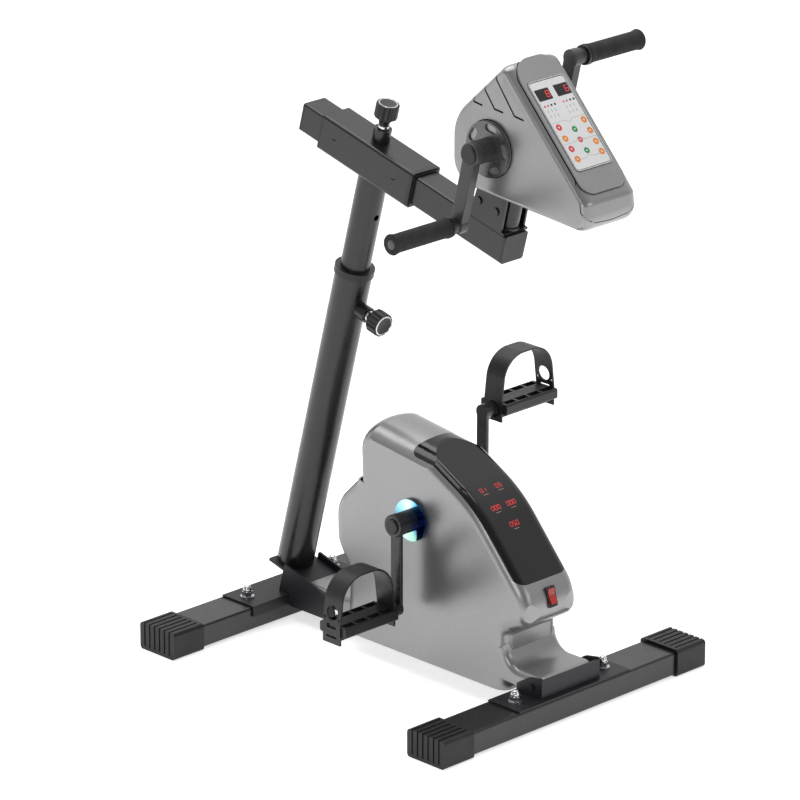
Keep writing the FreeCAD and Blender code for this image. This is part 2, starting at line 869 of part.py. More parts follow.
def leg_housing():
    """Right half of the leg unit's housing, open inside and along the middle plane."""
    toe_front = front_bar - box_ahead + box_wall + hub_gap
    toe = scaled(toe_shares, toe_length, toe_height, toe_front, plate_top + seat_gap)
    inner_width = leg_half_width - leg_wall
    right_side = block(0, leg_half_width + overrun, leg_front - overrun, leg_front + leg_length + overrun,
                       0, leg_clearance + leg_height + overrun)
    body = leg_body(0).common(right_side)
    toe_body = round_face_at(prism(toe, "x", 0, leg_half_width), leg_half_width, toe_edge_radius)
    hollow = leg_body(leg_wall)
    toe_hollow = round_face_at(prism(inset(toe, leg_wall), "x", -overrun, inner_width), inner_width,
                               toe_edge_radius - leg_wall)
    rear_end = mast_foot_behind - seat_plate_ahead - rear_toe_gap
    rear_start = leg_outline()[1][0] - rear_toe_inside
    base = plate_top + seat_gap
    rear_toe = prism([(0, base, 0), (rear_toe_half_width, base, 0),
                      (rear_toe_half_width, base + rear_toe_height, rear_toe_corner),
                      (0, base + rear_toe_height, 0)], "y", rear_start, rear_end)
    beam_slot = block(-overrun, beam_width / 2 + seat_gap, toe_front + leg_wall, rear_bar,
                      plate_top - seat_gap, beam_top + seat_gap)
    axle_hole = rod("x", axle_radius + shaft_window_gap, inner_width - overrun,
                    leg_half_width + overrun, *leg_axle)
    switch_hole = prism(centred(switch_half_width, switch_half_height), "y", -switch_depth, switch_depth)
    flange_seat = prism(inset(switch_flange_outline(), -shell_gap), "y", -switch_flange_wall - overrun, 0)
    switch_seat = moved(fuse(switch_hole, flange_seat), *switch_place(), -switch_tilt)
    inlet_hole = prism(centred(inlet_half_width, inlet_half_height), "y", -inlet_depth, inlet_depth)
    inlet_hole = moved(inlet_hole, *inlet_frame())
    shell = fuse(body, toe_body)
    shell = cut(shell, hollow, toe_hollow)
    shell = fuse(shell, cut(rear_toe, hollow))
    return cut(shell, beam_slot, axle_hole, lens_window(0), switch_seat, inlet_hole)


def display_lens():
    """Curved glossy lens set into the crest of the housing."""
    return leg_body(0).cut(leg_body(lens_wall)).common(lens_window(shell_gap))


def display_board():
    """Board with digit blocks that touch the back of the lens."""
    y, z = leg_place(display_place_share)
    high, middle, low = leg_outline()[7:10]
    upper_slope = atan2(high[1] - middle[1], high[0] - middle[0])
    lower_slope = atan2(middle[1] - low[1], middle[0] - low[0])
    slope = degrees(upper_slope + lower_slope) / 2
    board_top = -lens_wall - digit_block_height
    board = prism(centred(display_half_width, display_half_length, board_corner), "z",
                  board_top - board_wall, board_top)
    blocks = []
    for row in range(digit_rows):
        along = (row - (digit_rows - 1) / 2) * digit_pitch
        for across in ((-digit_offset, digit_offset) if row else (0,)):
            blocks.append(prism(centred(digit_block_width / 2, digit_block_length / 2, 0, across, along),
                                "z", board_top, 0))
    return moved(fuse(board, *blocks), y, z, slope).common(leg_body(lens_wall))


def switch_flange_outline():
    """Outline of the switch's flange."""
    return centred(switch_half_width + switch_flange, switch_half_height + switch_flange, switch_corner)


def switch_body():
    """Switch frame with a well for the rocker and bores for its pins."""
    width = switch_half_width - shell_gap
    height = switch_half_height - shell_gap
    flange = prism(switch_flange_outline(), "y", -switch_flange_wall, 0)
    case = prism(centred(width, height), "y", -switch_flange_wall, switch_depth)
    well = prism(centred(rocker_half_width + seat_gap, rocker_half_height + switch_flange / 2), "y",
                 -switch_flange_wall - overrun, rocker_well_depth)
    bore = rod("x", rocker_pin_radius + running_gap, -width - overrun, width + overrun, rocker_pivot_depth, 0)
    return moved(cut(fuse(flange, case), well, bore), *switch_place(), -switch_tilt)


def power_rocker():
    """Rocker with two sloping faces and two pins, at the end of its travel."""
    crown = rocker_rise + switch_flange_wall + rocker_pivot_depth
    waist = rocker_waist + switch_flange_wall + rocker_pivot_depth
    edge = rocker_waist
    side = rocker_half_height - rocker_rise / 2
    profile = [(-crown, -rocker_half_height, edge), (rocker_back / 2, -side, edge), (rocker_back, 0, 0),
               (rocker_back / 2, side, edge), (-crown, rocker_half_height, edge),
               (-waist, 0, rocker_half_height)]
    body = prism(profile, "x", -rocker_half_width, rocker_half_width)
    reach = rocker_half_width + rocker_pin_length
    pin = rod("x", rocker_pin_radius, -reach, reach)
    rocker = moved(fuse(body, pin), 0, 0, -rocker_travel / 2)
    rocker = moved(rocker, rocker_pivot_depth, 0)
    return moved(rocker, *switch_place(), -switch_tilt)


def power_inlet():
    """Two-pin inlet set into the rear lobe."""
    width = inlet_half_width - shell_gap
    height = inlet_half_height - shell_gap
    flange = prism(centred(inlet_half_width + inlet_flange, inlet_half_height + inlet_flange, inlet_corner),
                   "y", 0, inlet_flange_wall)
    case = prism(centred(width, height), "y", -inlet_depth, inlet_flange_wall)
    floor = inlet_flange_wall - socket_depth
    socket = prism(centred(socket_half_width, socket_half_height, socket_half_height), "y", floor,
                   inlet_flange_wall + overrun)
    contacts = [rod("y", contact_radius, floor, floor + contact_length, x, 0)
                for x in (-contact_offset, contact_offset)]
    inlet = fuse(cut(fuse(flange, case), socket), *contacts)
    return moved(inlet, *inlet_frame())


def bearing(start, y, z):
    """Ball bearing ring with its shield groove on both faces."""
    ring = pipe("x", bearing_radius, axle_radius + running_gap, start, start + bearing_width, y, z)
    inner = axle_radius + bearing_groove_start
    outer = axle_radius + bearing_groove_end
    faces = ((start - overrun, start + bearing_groove_depth),
             (start + bearing_width - bearing_groove_depth, start + bearing_width + overrun))
    return cut(ring, *[rod("x", outer, a, b, y, z).cut(rod("x", inner, a, b, y, z)) for a, b in faces])


def bearing_cup(plate_start, y, z):
    """Cup for a bearing, on the inner side of a bracket plate."""
    return pipe("x", bearing_radius + cup_wall, bearing_radius + press_gap, plate_start - bearing_width,
                plate_start, y, z)


def motor(radius, length, face, y, z):
    """Motor can with a bore for its shaft and cooling holes round its back."""
    back = face - length
    can = rod("x", radius, back, face, y, z)
    bore = rod("x", motor_shaft_radius + running_gap, face - motor_shaft_depth - seat_gap,
               face + overrun, y, z)
    vents = []
    for i in range(motor_vent_count):
        angle = 2 * pi * i / motor_vent_count
        place = (y + cos(angle) * radius * 2 / 3, z + sin(angle) * radius * 2 / 3)
        vents.append(rod("x", motor_vent_radius, back - overrun, back + motor_vent_depth, *place))
    return cut(can, bore, *vents)


def motor_pulley(radius, start, width, face, y, z):
    """Small pulley on the motor's shaft."""
    shaft = rod("x", motor_shaft_radius, face - motor_shaft_depth, start + width, y, z)
    return fuse(shaft, rod("x", radius, start, start + width, y, z))


def drive_pulley(radius, start, width, hub_start, y, z):
    """Large pulley with a thin web, windows and a hub on the axle."""
    rim = pipe("x", radius, radius - pulley_rim, start, start + width, y, z)
    web_start = start + (width - pulley_web) / 2
    web = rod("x", radius - pulley_rim / 2, web_start, web_start + pulley_web, y, z)
    hub = rod("x", pulley_hub_radius, hub_start, start + width, y, z)
    middle = (radius - pulley_rim + pulley_hub_radius) / 2
    window = (radius - pulley_rim - pulley_hub_radius) / 3
    tools = [rod("x", axle_radius + press_gap, hub_start - overrun, start + width + overrun, y, z)]
    for i in range(pulley_window_count):
        angle = 2 * pi * i / pulley_window_count
        tools.append(rod("x", window, start - overrun, start + width + overrun,
                         y + cos(angle) * middle, z + sin(angle) * middle))
    return cut(fuse(rim, web, hub), *tools)


def belt(start, width, place_a, radius_a, place_b, radius_b):
    """Flat belt that runs just clear of its two pulleys."""
    a = radius_a + seat_gap
    b = radius_b + seat_gap
    first = start + belt_inset
    last = start + width - belt_inset
    outside = link("x", first, last, place_a, a + belt_wall, place_b, b + belt_wall)
    return outside.cut(link("x", first - overrun, last + overrun, place_a, a, place_b, b))


def crank_arm(start, wall, bar_wall, end, head_radius, end_radius, half_width, boss_radius, boss_start):
    """Crank arm with a boss on the axle side and a threaded eye for the spindle."""
    bar = link("x", start, start + bar_wall, (0, 0), half_width, end, half_width)
    head = rod("x", head_radius, start, start + wall)
    eye = rod("x", end_radius, start, start + wall, *end)
    ends = [round_face_at(piece, start + wall, crank_edge_radius) for piece in (head, eye)]
    arm = round_face_at(bar, start + bar_wall, crank_edge_radius)
    arm = fuse(arm, *ends, rod("x", boss_radius, boss_start, start))
    axle_bore = rod("x", axle_radius + press_gap, boss_start - overrun, start + wall + overrun)
    eye_bore = rod("x", spindle_thread_radius + press_gap, start - overrun, start + wall + overrun, *end)
    return cut(arm, axle_bore, eye_bore)


def crank_cap(radius, face):
    """Round cap over the end of the axle."""
    cap = rod("x", radius, face, face + crank_cap_wall)
    return round_face_at(cap, face + crank_cap_wall, crank_edge_radius)


def spindle(start, wall, collar_radius, collar_length, end):
    """Spindle screwed into a crank arm, with a collar outside it."""
    face = start + wall
    return fuse(rod("x", spindle_thread_radius, start, face),
                rod("x", collar_radius, face, face + collar_length),
                rod("x", spindle_radius, face, end))


def axle_brackets():
    """Two plates from the beam to the bearings, the right one also holding the motor."""
    y, z = leg_axle
    foot = leg_bracket_foot / 2
    top = leg_bracket_top / 2
    end = leg_bracket_start + leg_bracket_wall
    outline = [(y - foot, beam_top, 0), (y + foot, beam_top, 0), (y + top, z, 0), (y - top, z, 0)]
    column = prism(outline, "x", leg_bracket_start, end)
    pad = rod("x", bearing_radius + cup_wall, leg_bracket_start, end, y, z)
    window = rod("x", axle_radius + shaft_window_gap, leg_bracket_start - overrun, end + overrun, y, z)
    plain = cut(fuse(column, pad, bearing_cup(leg_bracket_start, y, z)), window)
    arm = link("x", leg_bracket_start, end, leg_axle, bearing_radius + cup_wall, leg_motor,
               leg_motor_plate_radius)
    shaft_window = rod("x", motor_shaft_radius + shaft_window_gap, leg_bracket_start - overrun,
                       end + overrun, *leg_motor)
    arm = cut(arm, window, shaft_window)
    return fuse(plain, arm), mirrored(plain)


def control_board():
    """Board on standoffs outside the left bracket plate, with its larger parts."""
    face = leg_bracket_start + leg_bracket_wall
    board_start = face + control_board_standoff
    board_end = board_start + board_wall
    y = leg_axle[0]
    low = control_board_base
    half = control_board_length / 2
    board = block(board_start, board_end, y - half, y + half, low, low + control_board_height)
    chips = [block(board_end, board_end + chip_rise, y - chip_width / 2, y + chip_width / 2,
                   base, base + chip_height) for base in (low + chip_height / 2, low + chip_height * 2)]
    posts = []
    for across in (-1, 1):
        for height in (low + standoff_inset, low + control_board_height - standoff_inset):
            place = y + across * (leg_bracket_top / 2 - standoff_inset)
            posts.append(rod("x", standoff_radius, face, board_start, place, height))
    return mirrored(fuse(board, *chips, *posts))


def build_leg_unit():
    """Housing, display, switch, inlet, brackets and drive of the leg unit."""
    half = leg_housing()
    add("lower_housing_right", half)
    add("lower_housing_left", mirrored(half))
    add("display_lens", display_lens())
    add("display_board", display_board())
    add("switch_body", switch_body())
    add("power_rocker", power_rocker())
    add("power_inlet", power_inlet())
    add("axle_brackets", *axle_brackets())
    add("lower_bearings", *both_sides(bearing(leg_bracket_start - bearing_width, *leg_axle)))
    add("lower_motor", motor(leg_motor_radius, leg_motor_length, leg_bracket_start, *leg_motor))
    add("lower_motor_pulley", motor_pulley(leg_motor_pulley_radius, leg_pulley_start, leg_pulley_width,
                                           leg_bracket_start, *leg_motor))
    add("lower_belt", belt(leg_pulley_start, leg_pulley_width, leg_axle, leg_pulley_radius,
                           leg_motor, leg_motor_pulley_radius))
    add("control_board", control_board())


def build_leg_crank():
    """Axle, pulley, hub discs, arms, caps and spindles of the leg crank."""
    hub_start = leg_bracket_start + leg_bracket_wall + hub_gap
    reach = leg_arm_end - axle_recess
    add("lower_axle", rod("x", axle_radius, -reach, reach, *leg_axle))
    add("lower_pulley", drive_pulley(leg_pulley_radius, leg_pulley_start, leg_pulley_width, hub_start,
                                     *leg_axle))
    boss_start = leg_hub_start + leg_hub_wall
    disc = pipe("x", leg_hub_radius, axle_radius + press_gap, leg_hub_start, boss_start)
    arm = crank_arm(leg_arm_start, leg_arm_wall, leg_bar_wall, (0, -leg_crank_length), leg_arm_head_radius,
                    leg_arm_end_radius, leg_arm_half_width, leg_boss_radius, boss_start)
    cap = crank_cap(leg_cap_radius, leg_arm_end)
    pin = spindle(leg_arm_start, leg_arm_wall, spindle_collar_radius, spindle_collar_length,
                  pedal_start + pedal_length - spindle_recess)
    add("lower_hub_discs", *[moved(piece, *leg_axle) for piece in both_sides(disc)])
    up = moved(arm, 0, 0, 180)
    add("lower_crank_arms", moved(mirrored(arm), *leg_axle), moved(up, *leg_axle))
    add("lower_crank_caps", *[moved(piece, *leg_axle) for piece in both_sides(cap)])
    low = leg_axle_height - leg_crank_length
    high = leg_axle_height + leg_crank_length
    add("pedal_spindles", moved(mirrored(pin), leg_axle[0], low), moved(pin, leg_axle[0], high))


def pedal():
    """Right pedal about its own spindle: a ribbed tread with a keel, windows and a hub."""
    end = pedal_start + pedal_length
    half = pedal_half_depth
    keel = pedal_keel_half_width
    flare = pedal_flare_half_width
    radius = pedal_corner
    profile = [(-half, -pedal_rail_drop, radius), (-flare, -pedal_rail_drop, radius),
               (-keel, -pedal_bottom, radius), (keel, -pedal_bottom, radius),
               (flare, -pedal_rail_drop, radius), (half, -pedal_rail_drop, radius),
               (half, pedal_top, radius), (-half, pedal_top, radius)]
    body = prism(profile, "x", pedal_start, end)
    hub = prism(regular(pedal_hub_sides, pedal_hub_radius), "x", pedal_start - pedal_hub_length, pedal_start)
    bore = rod("x", spindle_radius + running_gap, pedal_start - pedal_hub_length - overrun,
               end - spindle_recess + seat_gap)
    room = pedal_length - 2 * pedal_end_wall - (pedal_window_count - 1) * pedal_window_gap
    window = room / pedal_window_count
    tools = [bore]
    for i in range(pedal_window_count):
        start = pedal_start + pedal_end_wall + i * (window + pedal_window_gap)
        for side in (-1, 1):
            edges = sorted((side * keel, side * (half - pedal_rail)))
            tools.append(block(start, start + window, *edges, -pedal_bottom - overrun, pedal_top + overrun))
    return cut(fuse(body, hub), *tools)


def strap():
    """Right strap: a flat band over the foot, which leans in above the pedal's two ends."""
    inside = pedal_start
    outside = pedal_start + pedal_length
    left = inside - strap_wall
    right = outside + strap_wall
    outer = [(left, -strap_drop, 0), (right, -strap_drop, 0), (right, pedal_top, 0),
             (right - strap_lean, strap_top, strap_bend_radius),
             (left + strap_lean, strap_top, strap_bend_radius), (left, pedal_top, 0)]
    inner = [(inside, -strap_drop - overrun, 0), (outside, -strap_drop - overrun, 0)]
    inner += inset(outer, strap_wall)[2:]
    band = prism(outer, "y", -strap_width / 2, strap_width / 2)
    hollow = prism(inner, "y", -strap_width, strap_width)
    hub_hole = rod("x", pedal_hub_radius + hub_gap, inside - strap_wall - overrun, inside)
    return cut(band, hollow, hub_hole)


def build_pedals():
    """Left pedal at the bottom of its turn and right pedal at the top."""
    low = leg_axle_height - leg_crank_length
    high = leg_axle_height + leg_crank_length
    add("pedal_left", moved(mirrored(pedal()), leg_axle[0], low))
    add("pedal_strap_left", moved(mirrored(strap()), leg_axle[0], low))
    add("pedal_right", moved(pedal(), leg_axle[0], high))
    add("pedal_strap_right", moved(strap(), leg_axle[0], high))


def fluted_head(radius, start, length):
    """Knob head along Z with finger flutes and rounded rims."""
    head = rod("z", radius, start, start + length)
    rims = [edge for edge in head.Edges if edge.Curve.TypeId == "Part::GeomCircle"]
    head = head.makeFillet(knob_edge_radius, rims)
    flutes = []
    for i in range(knob_flutes):
        angle = 2 * pi * i / knob_flutes
        flutes.append(rod("z", knob_flute_radius, start - overrun, start + length + overrun,
                          cos(angle) * radius, sin(angle) * radius))
    return cut(head, *flutes)


def pull_knob(nose, boss_face, radius, length):
    """Pull pin along Z with its bright ring, neck and fluted head."""
    ring_end = boss_face + seat_gap + knob_ring_length
    head_start = ring_end + knob_neck_length
    pin_end = head_start + length / 2
    pin = fuse(rod("z", pin_radius, nose, pin_end),
               rod("z", knob_ring_radius, boss_face + seat_gap, ring_end),
               rod("z", knob_neck_radius, ring_end, head_start))
    bore = rod("z", pin_radius + press_gap, head_start - overrun, pin_end + press_gap)
    return pin, fluted_head(radius, head_start, length).cut(bore)


def facing_forward(shape):
    """Turn a piece drawn along Z so that it points forward from the mast, at the knob's height."""
    return moved(shape, 0, knob_height, 90)


def build_mast():
    """Lower tube with its pin boss, collar with its bushing, and pull knob."""
    tube = rod("z", mast_radius, 0, mast_length)
    boss = facing_forward(rod("z", mast_boss_radius, 0, mast_boss_end))
    bore = rod("z", mast_radius - mast_wall, -overrun, mast_length + overrun)
    pin_bore = facing_forward(rod("z", pin_radius + running_gap, 0, mast_boss_end + overrun))
    add_on_mast("mast_lower_tube", cut(fuse(tube, boss), bore, pin_bore))
    top = mast_length + collar_cap
    ring = rod("z", collar_radius, top - collar_height, top)
    ring = ring.cut(rod("z", mast_radius + press_gap, top - collar_height - overrun, mast_length))
    bushing = rod("z", mast_radius - mast_wall - press_gap, mast_length - bushing_length, mast_length)
    slide = rod("z", upper_tube_radius + slide_gap, mast_length - bushing_length - overrun, top + overrun)
    add_on_mast("mast_collar", fuse(ring, bushing).cut(slide))
    pin, head = pull_knob(upper_tube_radius + seat_gap, mast_boss_end, mast_knob_radius, mast_knob_length)
    add_on_mast("mast_knob", facing_forward(pin), facing_forward(head))


def build_upper_mast():
    """Upper tube with its height holes, sleeve with its pin boss, and the sleeve's bushings."""
    sleeve_bottom = sleeve_centre_height - sleeve_size / 2
    sleeve_top = sleeve_centre_height + sleeve_size / 2
    tube = rod("z", upper_tube_radius, upper_tube_start, sleeve_bottom)
    glide = rod("z", mast_radius - mast_wall - slide_gap, upper_tube_start, upper_tube_start + glide_length)
    bore = rod("z", upper_tube_radius - upper_tube_wall, upper_tube_start - overrun, sleeve_bottom + overrun)
    hole = rod("z", pin_radius + pin_hole_gap, 0, mast_radius)
    holes = [moved(hole, 0, knob_height + step * hole_pitch, 90) for step in (-1, 0, 1)]
    add_on_mast("mast_upper_tube", cut(fuse(tube, glide), bore, *holes))
    half = sleeve_length / 2
    size = sleeve_size / 2
    sleeve = box_tube("y", size, size, sleeve_corner, sleeve_wall, -half, half, 0, sleeve_centre_height)
    boss_top = sleeve_top + reach_boss_height
    boss = rod("z", reach_boss_radius, sleeve_top - sleeve_wall / 2, boss_top)
    pin_bore = rod("z", pin_radius + running_gap, sleeve_centre_height, boss_top + overrun)
    add_on_mast("reach_sleeve", cut(fuse(sleeve, boss), pin_bore))
    inner = centred(arm_size / 2 + slide_gap, arm_size / 2 + slide_gap, arm_corner, 0, sleeve_centre_height)
    insert = size - sleeve_wall - press_gap
    plug = centred(insert, insert, sleeve_corner - sleeve_wall, 0, sleeve_centre_height)
    rim = centred(size, size, sleeve_corner, 0, sleeve_centre_height)
    passage = prism(inner, "y", -sleeve_length, sleeve_length)
    front = fuse(prism(plug, "y", -half - sleeve_front_flange - sleeve_lip, -half + sleeve_bushing_insert),
                 prism(rim, "y", -half - sleeve_front_flange, -half))
    rear = fuse(prism(plug, "y", half - sleeve_bushing_insert, half),
                prism(rim, "y", half, half + sleeve_rear_flange))
    add_on_mast("sleeve_bushings", front.cut(passage), rear.cut(passage))
    pin, head = pull_knob(arm_top + seat_gap, boss_top, reach_knob_radius, reach_knob_length)
    add_on_mast("arm_knob", pin, head)


def build_arm():
    """Sliding arm, its end caps, and the bracket and post that carry the hand unit."""
    half = arm_size / 2
    front = -arm_front + arm_cap_wall
    rear = arm_rear - arm_cap_wall
    tube = box_tube("y", half, half, arm_corner, arm_wall, front, rear, 0, sleeve_centre_height)
    hole = rod("z", pin_radius + pin_hole_gap, sleeve_centre_height, arm_top + overrun)
    holes = [moved(hole, step * reach_pitch, 0) for step in range(-reach_steps, reach_steps + 1)]
    add_on_mast("arm_tube", cut(tube, *holes))
    face = centred(half, half, arm_corner, 0, sleeve_centre_height)
    plug = inset(face, arm_wall + shell_gap)
    caps = [fuse(prism(face, "y", -arm_front, front), prism(plug, "y", front, front + arm_plug_length)),
            fuse(prism(face, "y", rear, arm_rear), prism(plug, "y", rear - arm_plug_length, rear))]
    add_on_mast("arm_end_caps", *caps)


def head_outline():
    """Side outline of the hand unit's housing about its axle."""
    return scaled(head_shares, head_length, head_height, -head_nose_reach, -head_drop)


def lid_frame():
    """Middle and slope of the sloping face under the lid."""
    high = head_outline()[2]
    low = head_outline()[3]
    y = low[0] + (high[0] - low[0]) * lid_centre_share
    z = low[1] + (high[1] - low[1]) * lid_centre_share
    return y, z, degrees(atan2(high[1] - low[1], high[0] - low[0]))


def on_lid(shape):
    """Move a piece drawn in the XY plane on to the sloping face."""
    return moved(shape, *lid_frame())


def cover_zone():
    """The space ahead of the seam, which the front cover takes from the housing."""
    y, z, slope = lid_frame()
    seam_y = -head_nose_reach + head_length * cover_seam_share
    along = (cos(radians(slope)), sin(radians(slope)))
    outward = (-along[1], along[0])
    face_z = z + (seam_y - y) * tan(radians(slope))
    seam_z = face_z - cover_depth / cos(radians(slope))
    steps = [(-head_nose_reach + head_length * a, -head_drop + head_height * b) for a, b in cover_step_shares]
    far = head_length
    top = (seam_y + along[0] * far, seam_z + along[1] * far)
    top_out = (top[0] + outward[0] * far, top[1] + outward[1] * far)
    front_out = (top_out[0] - along[0] * far * 2, top_out[1] - along[1] * far * 2)
    low = steps[1][1] - far
    corners = [(seam_y, seam_z), top, top_out, front_out, (front_out[0], low), (steps[1][0], low),
               steps[1], steps[0]]
    return prism([(u, v, 0) for u, v in corners], "x", -head_half_width * 2, head_half_width * 2)


def head_bracket():
    """U bracket on the arm, with bearing cups, the right cheek also holding the motor."""
    start = head_bracket_start
    end = start + head_bracket_wall
    base = -hand_axle_rise
    base_top = base + head_bracket_wall
    plate = block(-end, end, -head_base_ahead, head_bracket_behind, base, base_top)
    top = head_bracket_top / 2
    corners = [(-head_bracket_ahead, base, 0), (head_bracket_behind, base, 0), (top, 0, 0), (-top, 0, 0)]
    column = prism(corners, "x", start, end)
    pad = rod("x", bearing_radius + cup_wall, start, end)
    window = rod("x", axle_radius + shaft_window_gap, start - overrun, end + overrun)
    cheek = cut(fuse(column, pad, bearing_cup(start, 0, 0)), window)
    motor_place = (-hand_motor_ahead, -hand_motor_drop)
    arm = link("x", start, end, (0, 0), bearing_radius + cup_wall, motor_place, hand_motor_plate_radius)
    shaft_window = rod("x", motor_shaft_radius + shaft_window_gap, start - overrun, end + overrun,
                       *motor_place)
    arm = cut(arm, window, shaft_window)
    screws = [rod("x", head_screw_radius, end, end + head_screw_height, place, -head_screw_drop)
              for place in (-head_screw_ahead, head_screw_behind)]
    cheek = fuse(cheek, *screws)
    return fuse(plate, cheek, mirrored(cheek), arm)


def head_post():
    """Round post between the arm and the underside of the housing, with a ring at its foot."""
    base = -hand_axle_rise + head_bracket_wall
    post = rod("z", head_post_radius, base, -head_drop / 2, 0, -head_post_ahead)
    ring = rod("z", head_post_ring_radius, base, base + head_post_ring_height, 0, -head_post_ahead)
    housing = prism(head_outline(), "x", -head_half_width, head_half_width)
    return fuse(post, ring).cut(housing)


def build_hand_housing():
    """Housing halves, front cover, lid, key panel and board of the hand unit."""
    outline = head_outline()
    width = head_half_width
    body = rounded_block(outline, width, head_edge_across, head_edge_depth)
    hollow = rounded_block(inset(outline, head_wall), width - head_wall, head_edge_across - head_wall,
                           head_edge_depth - head_wall)
    boss_end = width + hub_boss_reach
    boss_root = width - hub_boss_root
    boss = rod("x", hub_boss_radius, boss_root, boss_end)
    boss_hollow = rod("x", hub_boss_radius - head_wall, boss_root - overrun, boss_end - head_wall)
    axle_hole = rod("x", axle_radius + shaft_window_gap, 0, boss_end + overrun)
    bracket_slot = block(head_bracket_start - seat_gap, head_bracket_start + head_bracket_wall + seat_gap,
                         -max(head_bracket_ahead, head_bracket_top / 2) - seat_gap,
                         head_bracket_behind + seat_gap, -head_drop - overrun, -head_drop / 2)
    right_side = block(0, boss_end + overrun, -head_length, head_length, -head_height, head_height)
    half_width = lid_width / 2
    half_length = lid_length / 2
    lid_corners = [(-half_width, -half_length, lid_bottom_corner),
                   (half_width, -half_length, lid_bottom_corner),
                   (half_width, half_length, lid_top_corner), (-half_width, half_length, lid_top_corner)]
    lid = on_lid(prism(lid_corners, "z", -lid_recess, lid_stand))
    lid_seat = on_lid(prism(inset(lid_corners, -shell_gap), "z", -lid_recess, lid_stand + overrun))
    zone = cover_zone()
    half = fuse(body.common(right_side), boss)
    half = cut(half, hollow, boss_hollow, axle_hole, bracket_slot, zone, lid_seat)
    add_on_head("upper_housing_right", half)
    add_on_head("upper_housing_left", mirrored(half))
    add_on_head("upper_front_cover", cut(body, hollow, lid_seat).common(zone))
    add_on_head("upper_lid", lid)
    panel = prism(centred(key_panel_width / 2, key_panel_length / 2, key_panel_corner), "z",
                  lid_stand, lid_stand + key_panel_wall)
    add_on_head("key_panel", on_lid(panel))
    board_top = -head_wall - upper_board_drop
    board = prism(centred(upper_board_half_width, upper_board_half_length), "z",
                  board_top - board_wall, board_top)
    across = upper_board_half_width - standoff_inset
    along = upper_board_half_length - standoff_inset
    posts = [rod("z", standoff_radius, board_top, -head_wall, x, y)
             for x in (-across, across) for y in (-along, along)]
    add_on_head("upper_board", on_lid(fuse(board, *posts)))


def build_hand_drive():
    """Bracket, post, bearings, motor and belt of the hand unit."""
    motor_place = (-hand_motor_ahead, -hand_motor_drop)
    add_on_head("head_bracket", head_bracket())
    add_on_head("head_post", head_post())
    add_on_head("upper_bearings", *both_sides(bearing(head_bracket_start - bearing_width, 0, 0)))
    add_on_head("upper_motor", motor(hand_motor_radius, hand_motor_length, head_bracket_start,
                                     *motor_place))
    add_on_head("upper_motor_pulley", motor_pulley(hand_motor_pulley_radius, hand_pulley_start,
                                                   hand_pulley_width, head_bracket_start, *motor_place))
    add_on_head("upper_belt", belt(hand_pulley_start, hand_pulley_width, (0, 0), hand_pulley_radius,
                                   motor_place, hand_motor_pulley_radius))


def hub_disc():
    """Ringed disc with oval openings, outside the hub boss."""
    end = hand_hub_start + hand_hub_wall
    disc = pipe("x", hand_hub_radius, axle_radius + press_gap, hand_hub_start, end)
    openings = []
    for i in range(hand_hub_openings):
        spread = hand_hub_opening_length / 2
        left = (hand_hub_opening_place, -spread)
        right = (hand_hub_opening_place, spread)
        oval = link("x", hand_hub_start - overrun, end + overrun, left, hand_hub_opening_radius,
                    right, hand_hub_opening_radius * edge_use_share)
        openings.append(moved(oval, 0, 0, hand_hub_opening_turn + 360 * i / hand_hub_openings))
    return cut(disc, *openings)


def grip():
    """Right hand grip about its own spindle: a flange and a flared foam sleeve."""
    flange_start = hand_arm_end + hand_collar_length + seat_gap
    start = flange_start + grip_flange_wall
    end = start + grip_length
    flange = pipe("x", grip_flange_radius, spindle_radius + running_gap, flange_start, start)
    foam = fuse(taper("x", grip_end_radius, grip_radius, start, start + grip_flare_length),
                rod("x", grip_radius, start + grip_flare_length, end - grip_flare_length),
                taper("x", grip_radius, grip_end_radius, end - grip_flare_length, end))
    bore = rod("x", spindle_radius + running_gap, start - overrun, end - spindle_recess + seat_gap)
    return flange, foam.cut(bore)


def build_hand_crank():
    """Axle, pulley, hub discs, arms, caps, spindles and grips of the hand crank."""
    hub_start = head_bracket_start + head_bracket_wall + hub_gap
    reach = hand_arm_end - axle_recess
    add_on_head("upper_axle", rod("x", axle_radius, -reach, reach))
    add_on_head("upper_pulley", drive_pulley(hand_pulley_radius, hand_pulley_start, hand_pulley_width,
                                             hub_start, 0, 0))
    add_on_head("upper_hub_discs", *both_sides(hub_disc()))
    near = turned(0, -hand_crank_length, hand_crank_turn)
    arm = crank_arm(hand_arm_start, hand_arm_wall, hand_arm_wall, near, hand_arm_head_radius,
                    hand_arm_end_radius, hand_arm_half_width, hand_boss_radius,
                    hand_hub_start + hand_hub_wall)
    add_on_head("upper_crank_arms", mirrored(arm), moved(arm, 0, 0, 180))
    add_on_head("upper_crank_caps", *both_sides(crank_cap(hand_cap_radius, hand_arm_end)))
    flange, foam = grip()
    pin = spindle(hand_arm_start, hand_arm_wall, hand_collar_radius, hand_collar_length,
                  foam.BoundBox.XMax - spindle_recess)
    far = turned(0, hand_crank_length, hand_crank_turn)
    add_on_head("grip_spindles", moved(mirrored(pin), *near), moved(pin, *far))
    add_on_head("grip_left", moved(mirrored(flange), *near), moved(mirrored(foam), *near))
    add_on_head("grip_right", moved(flange, *far), moved(foam, *far))


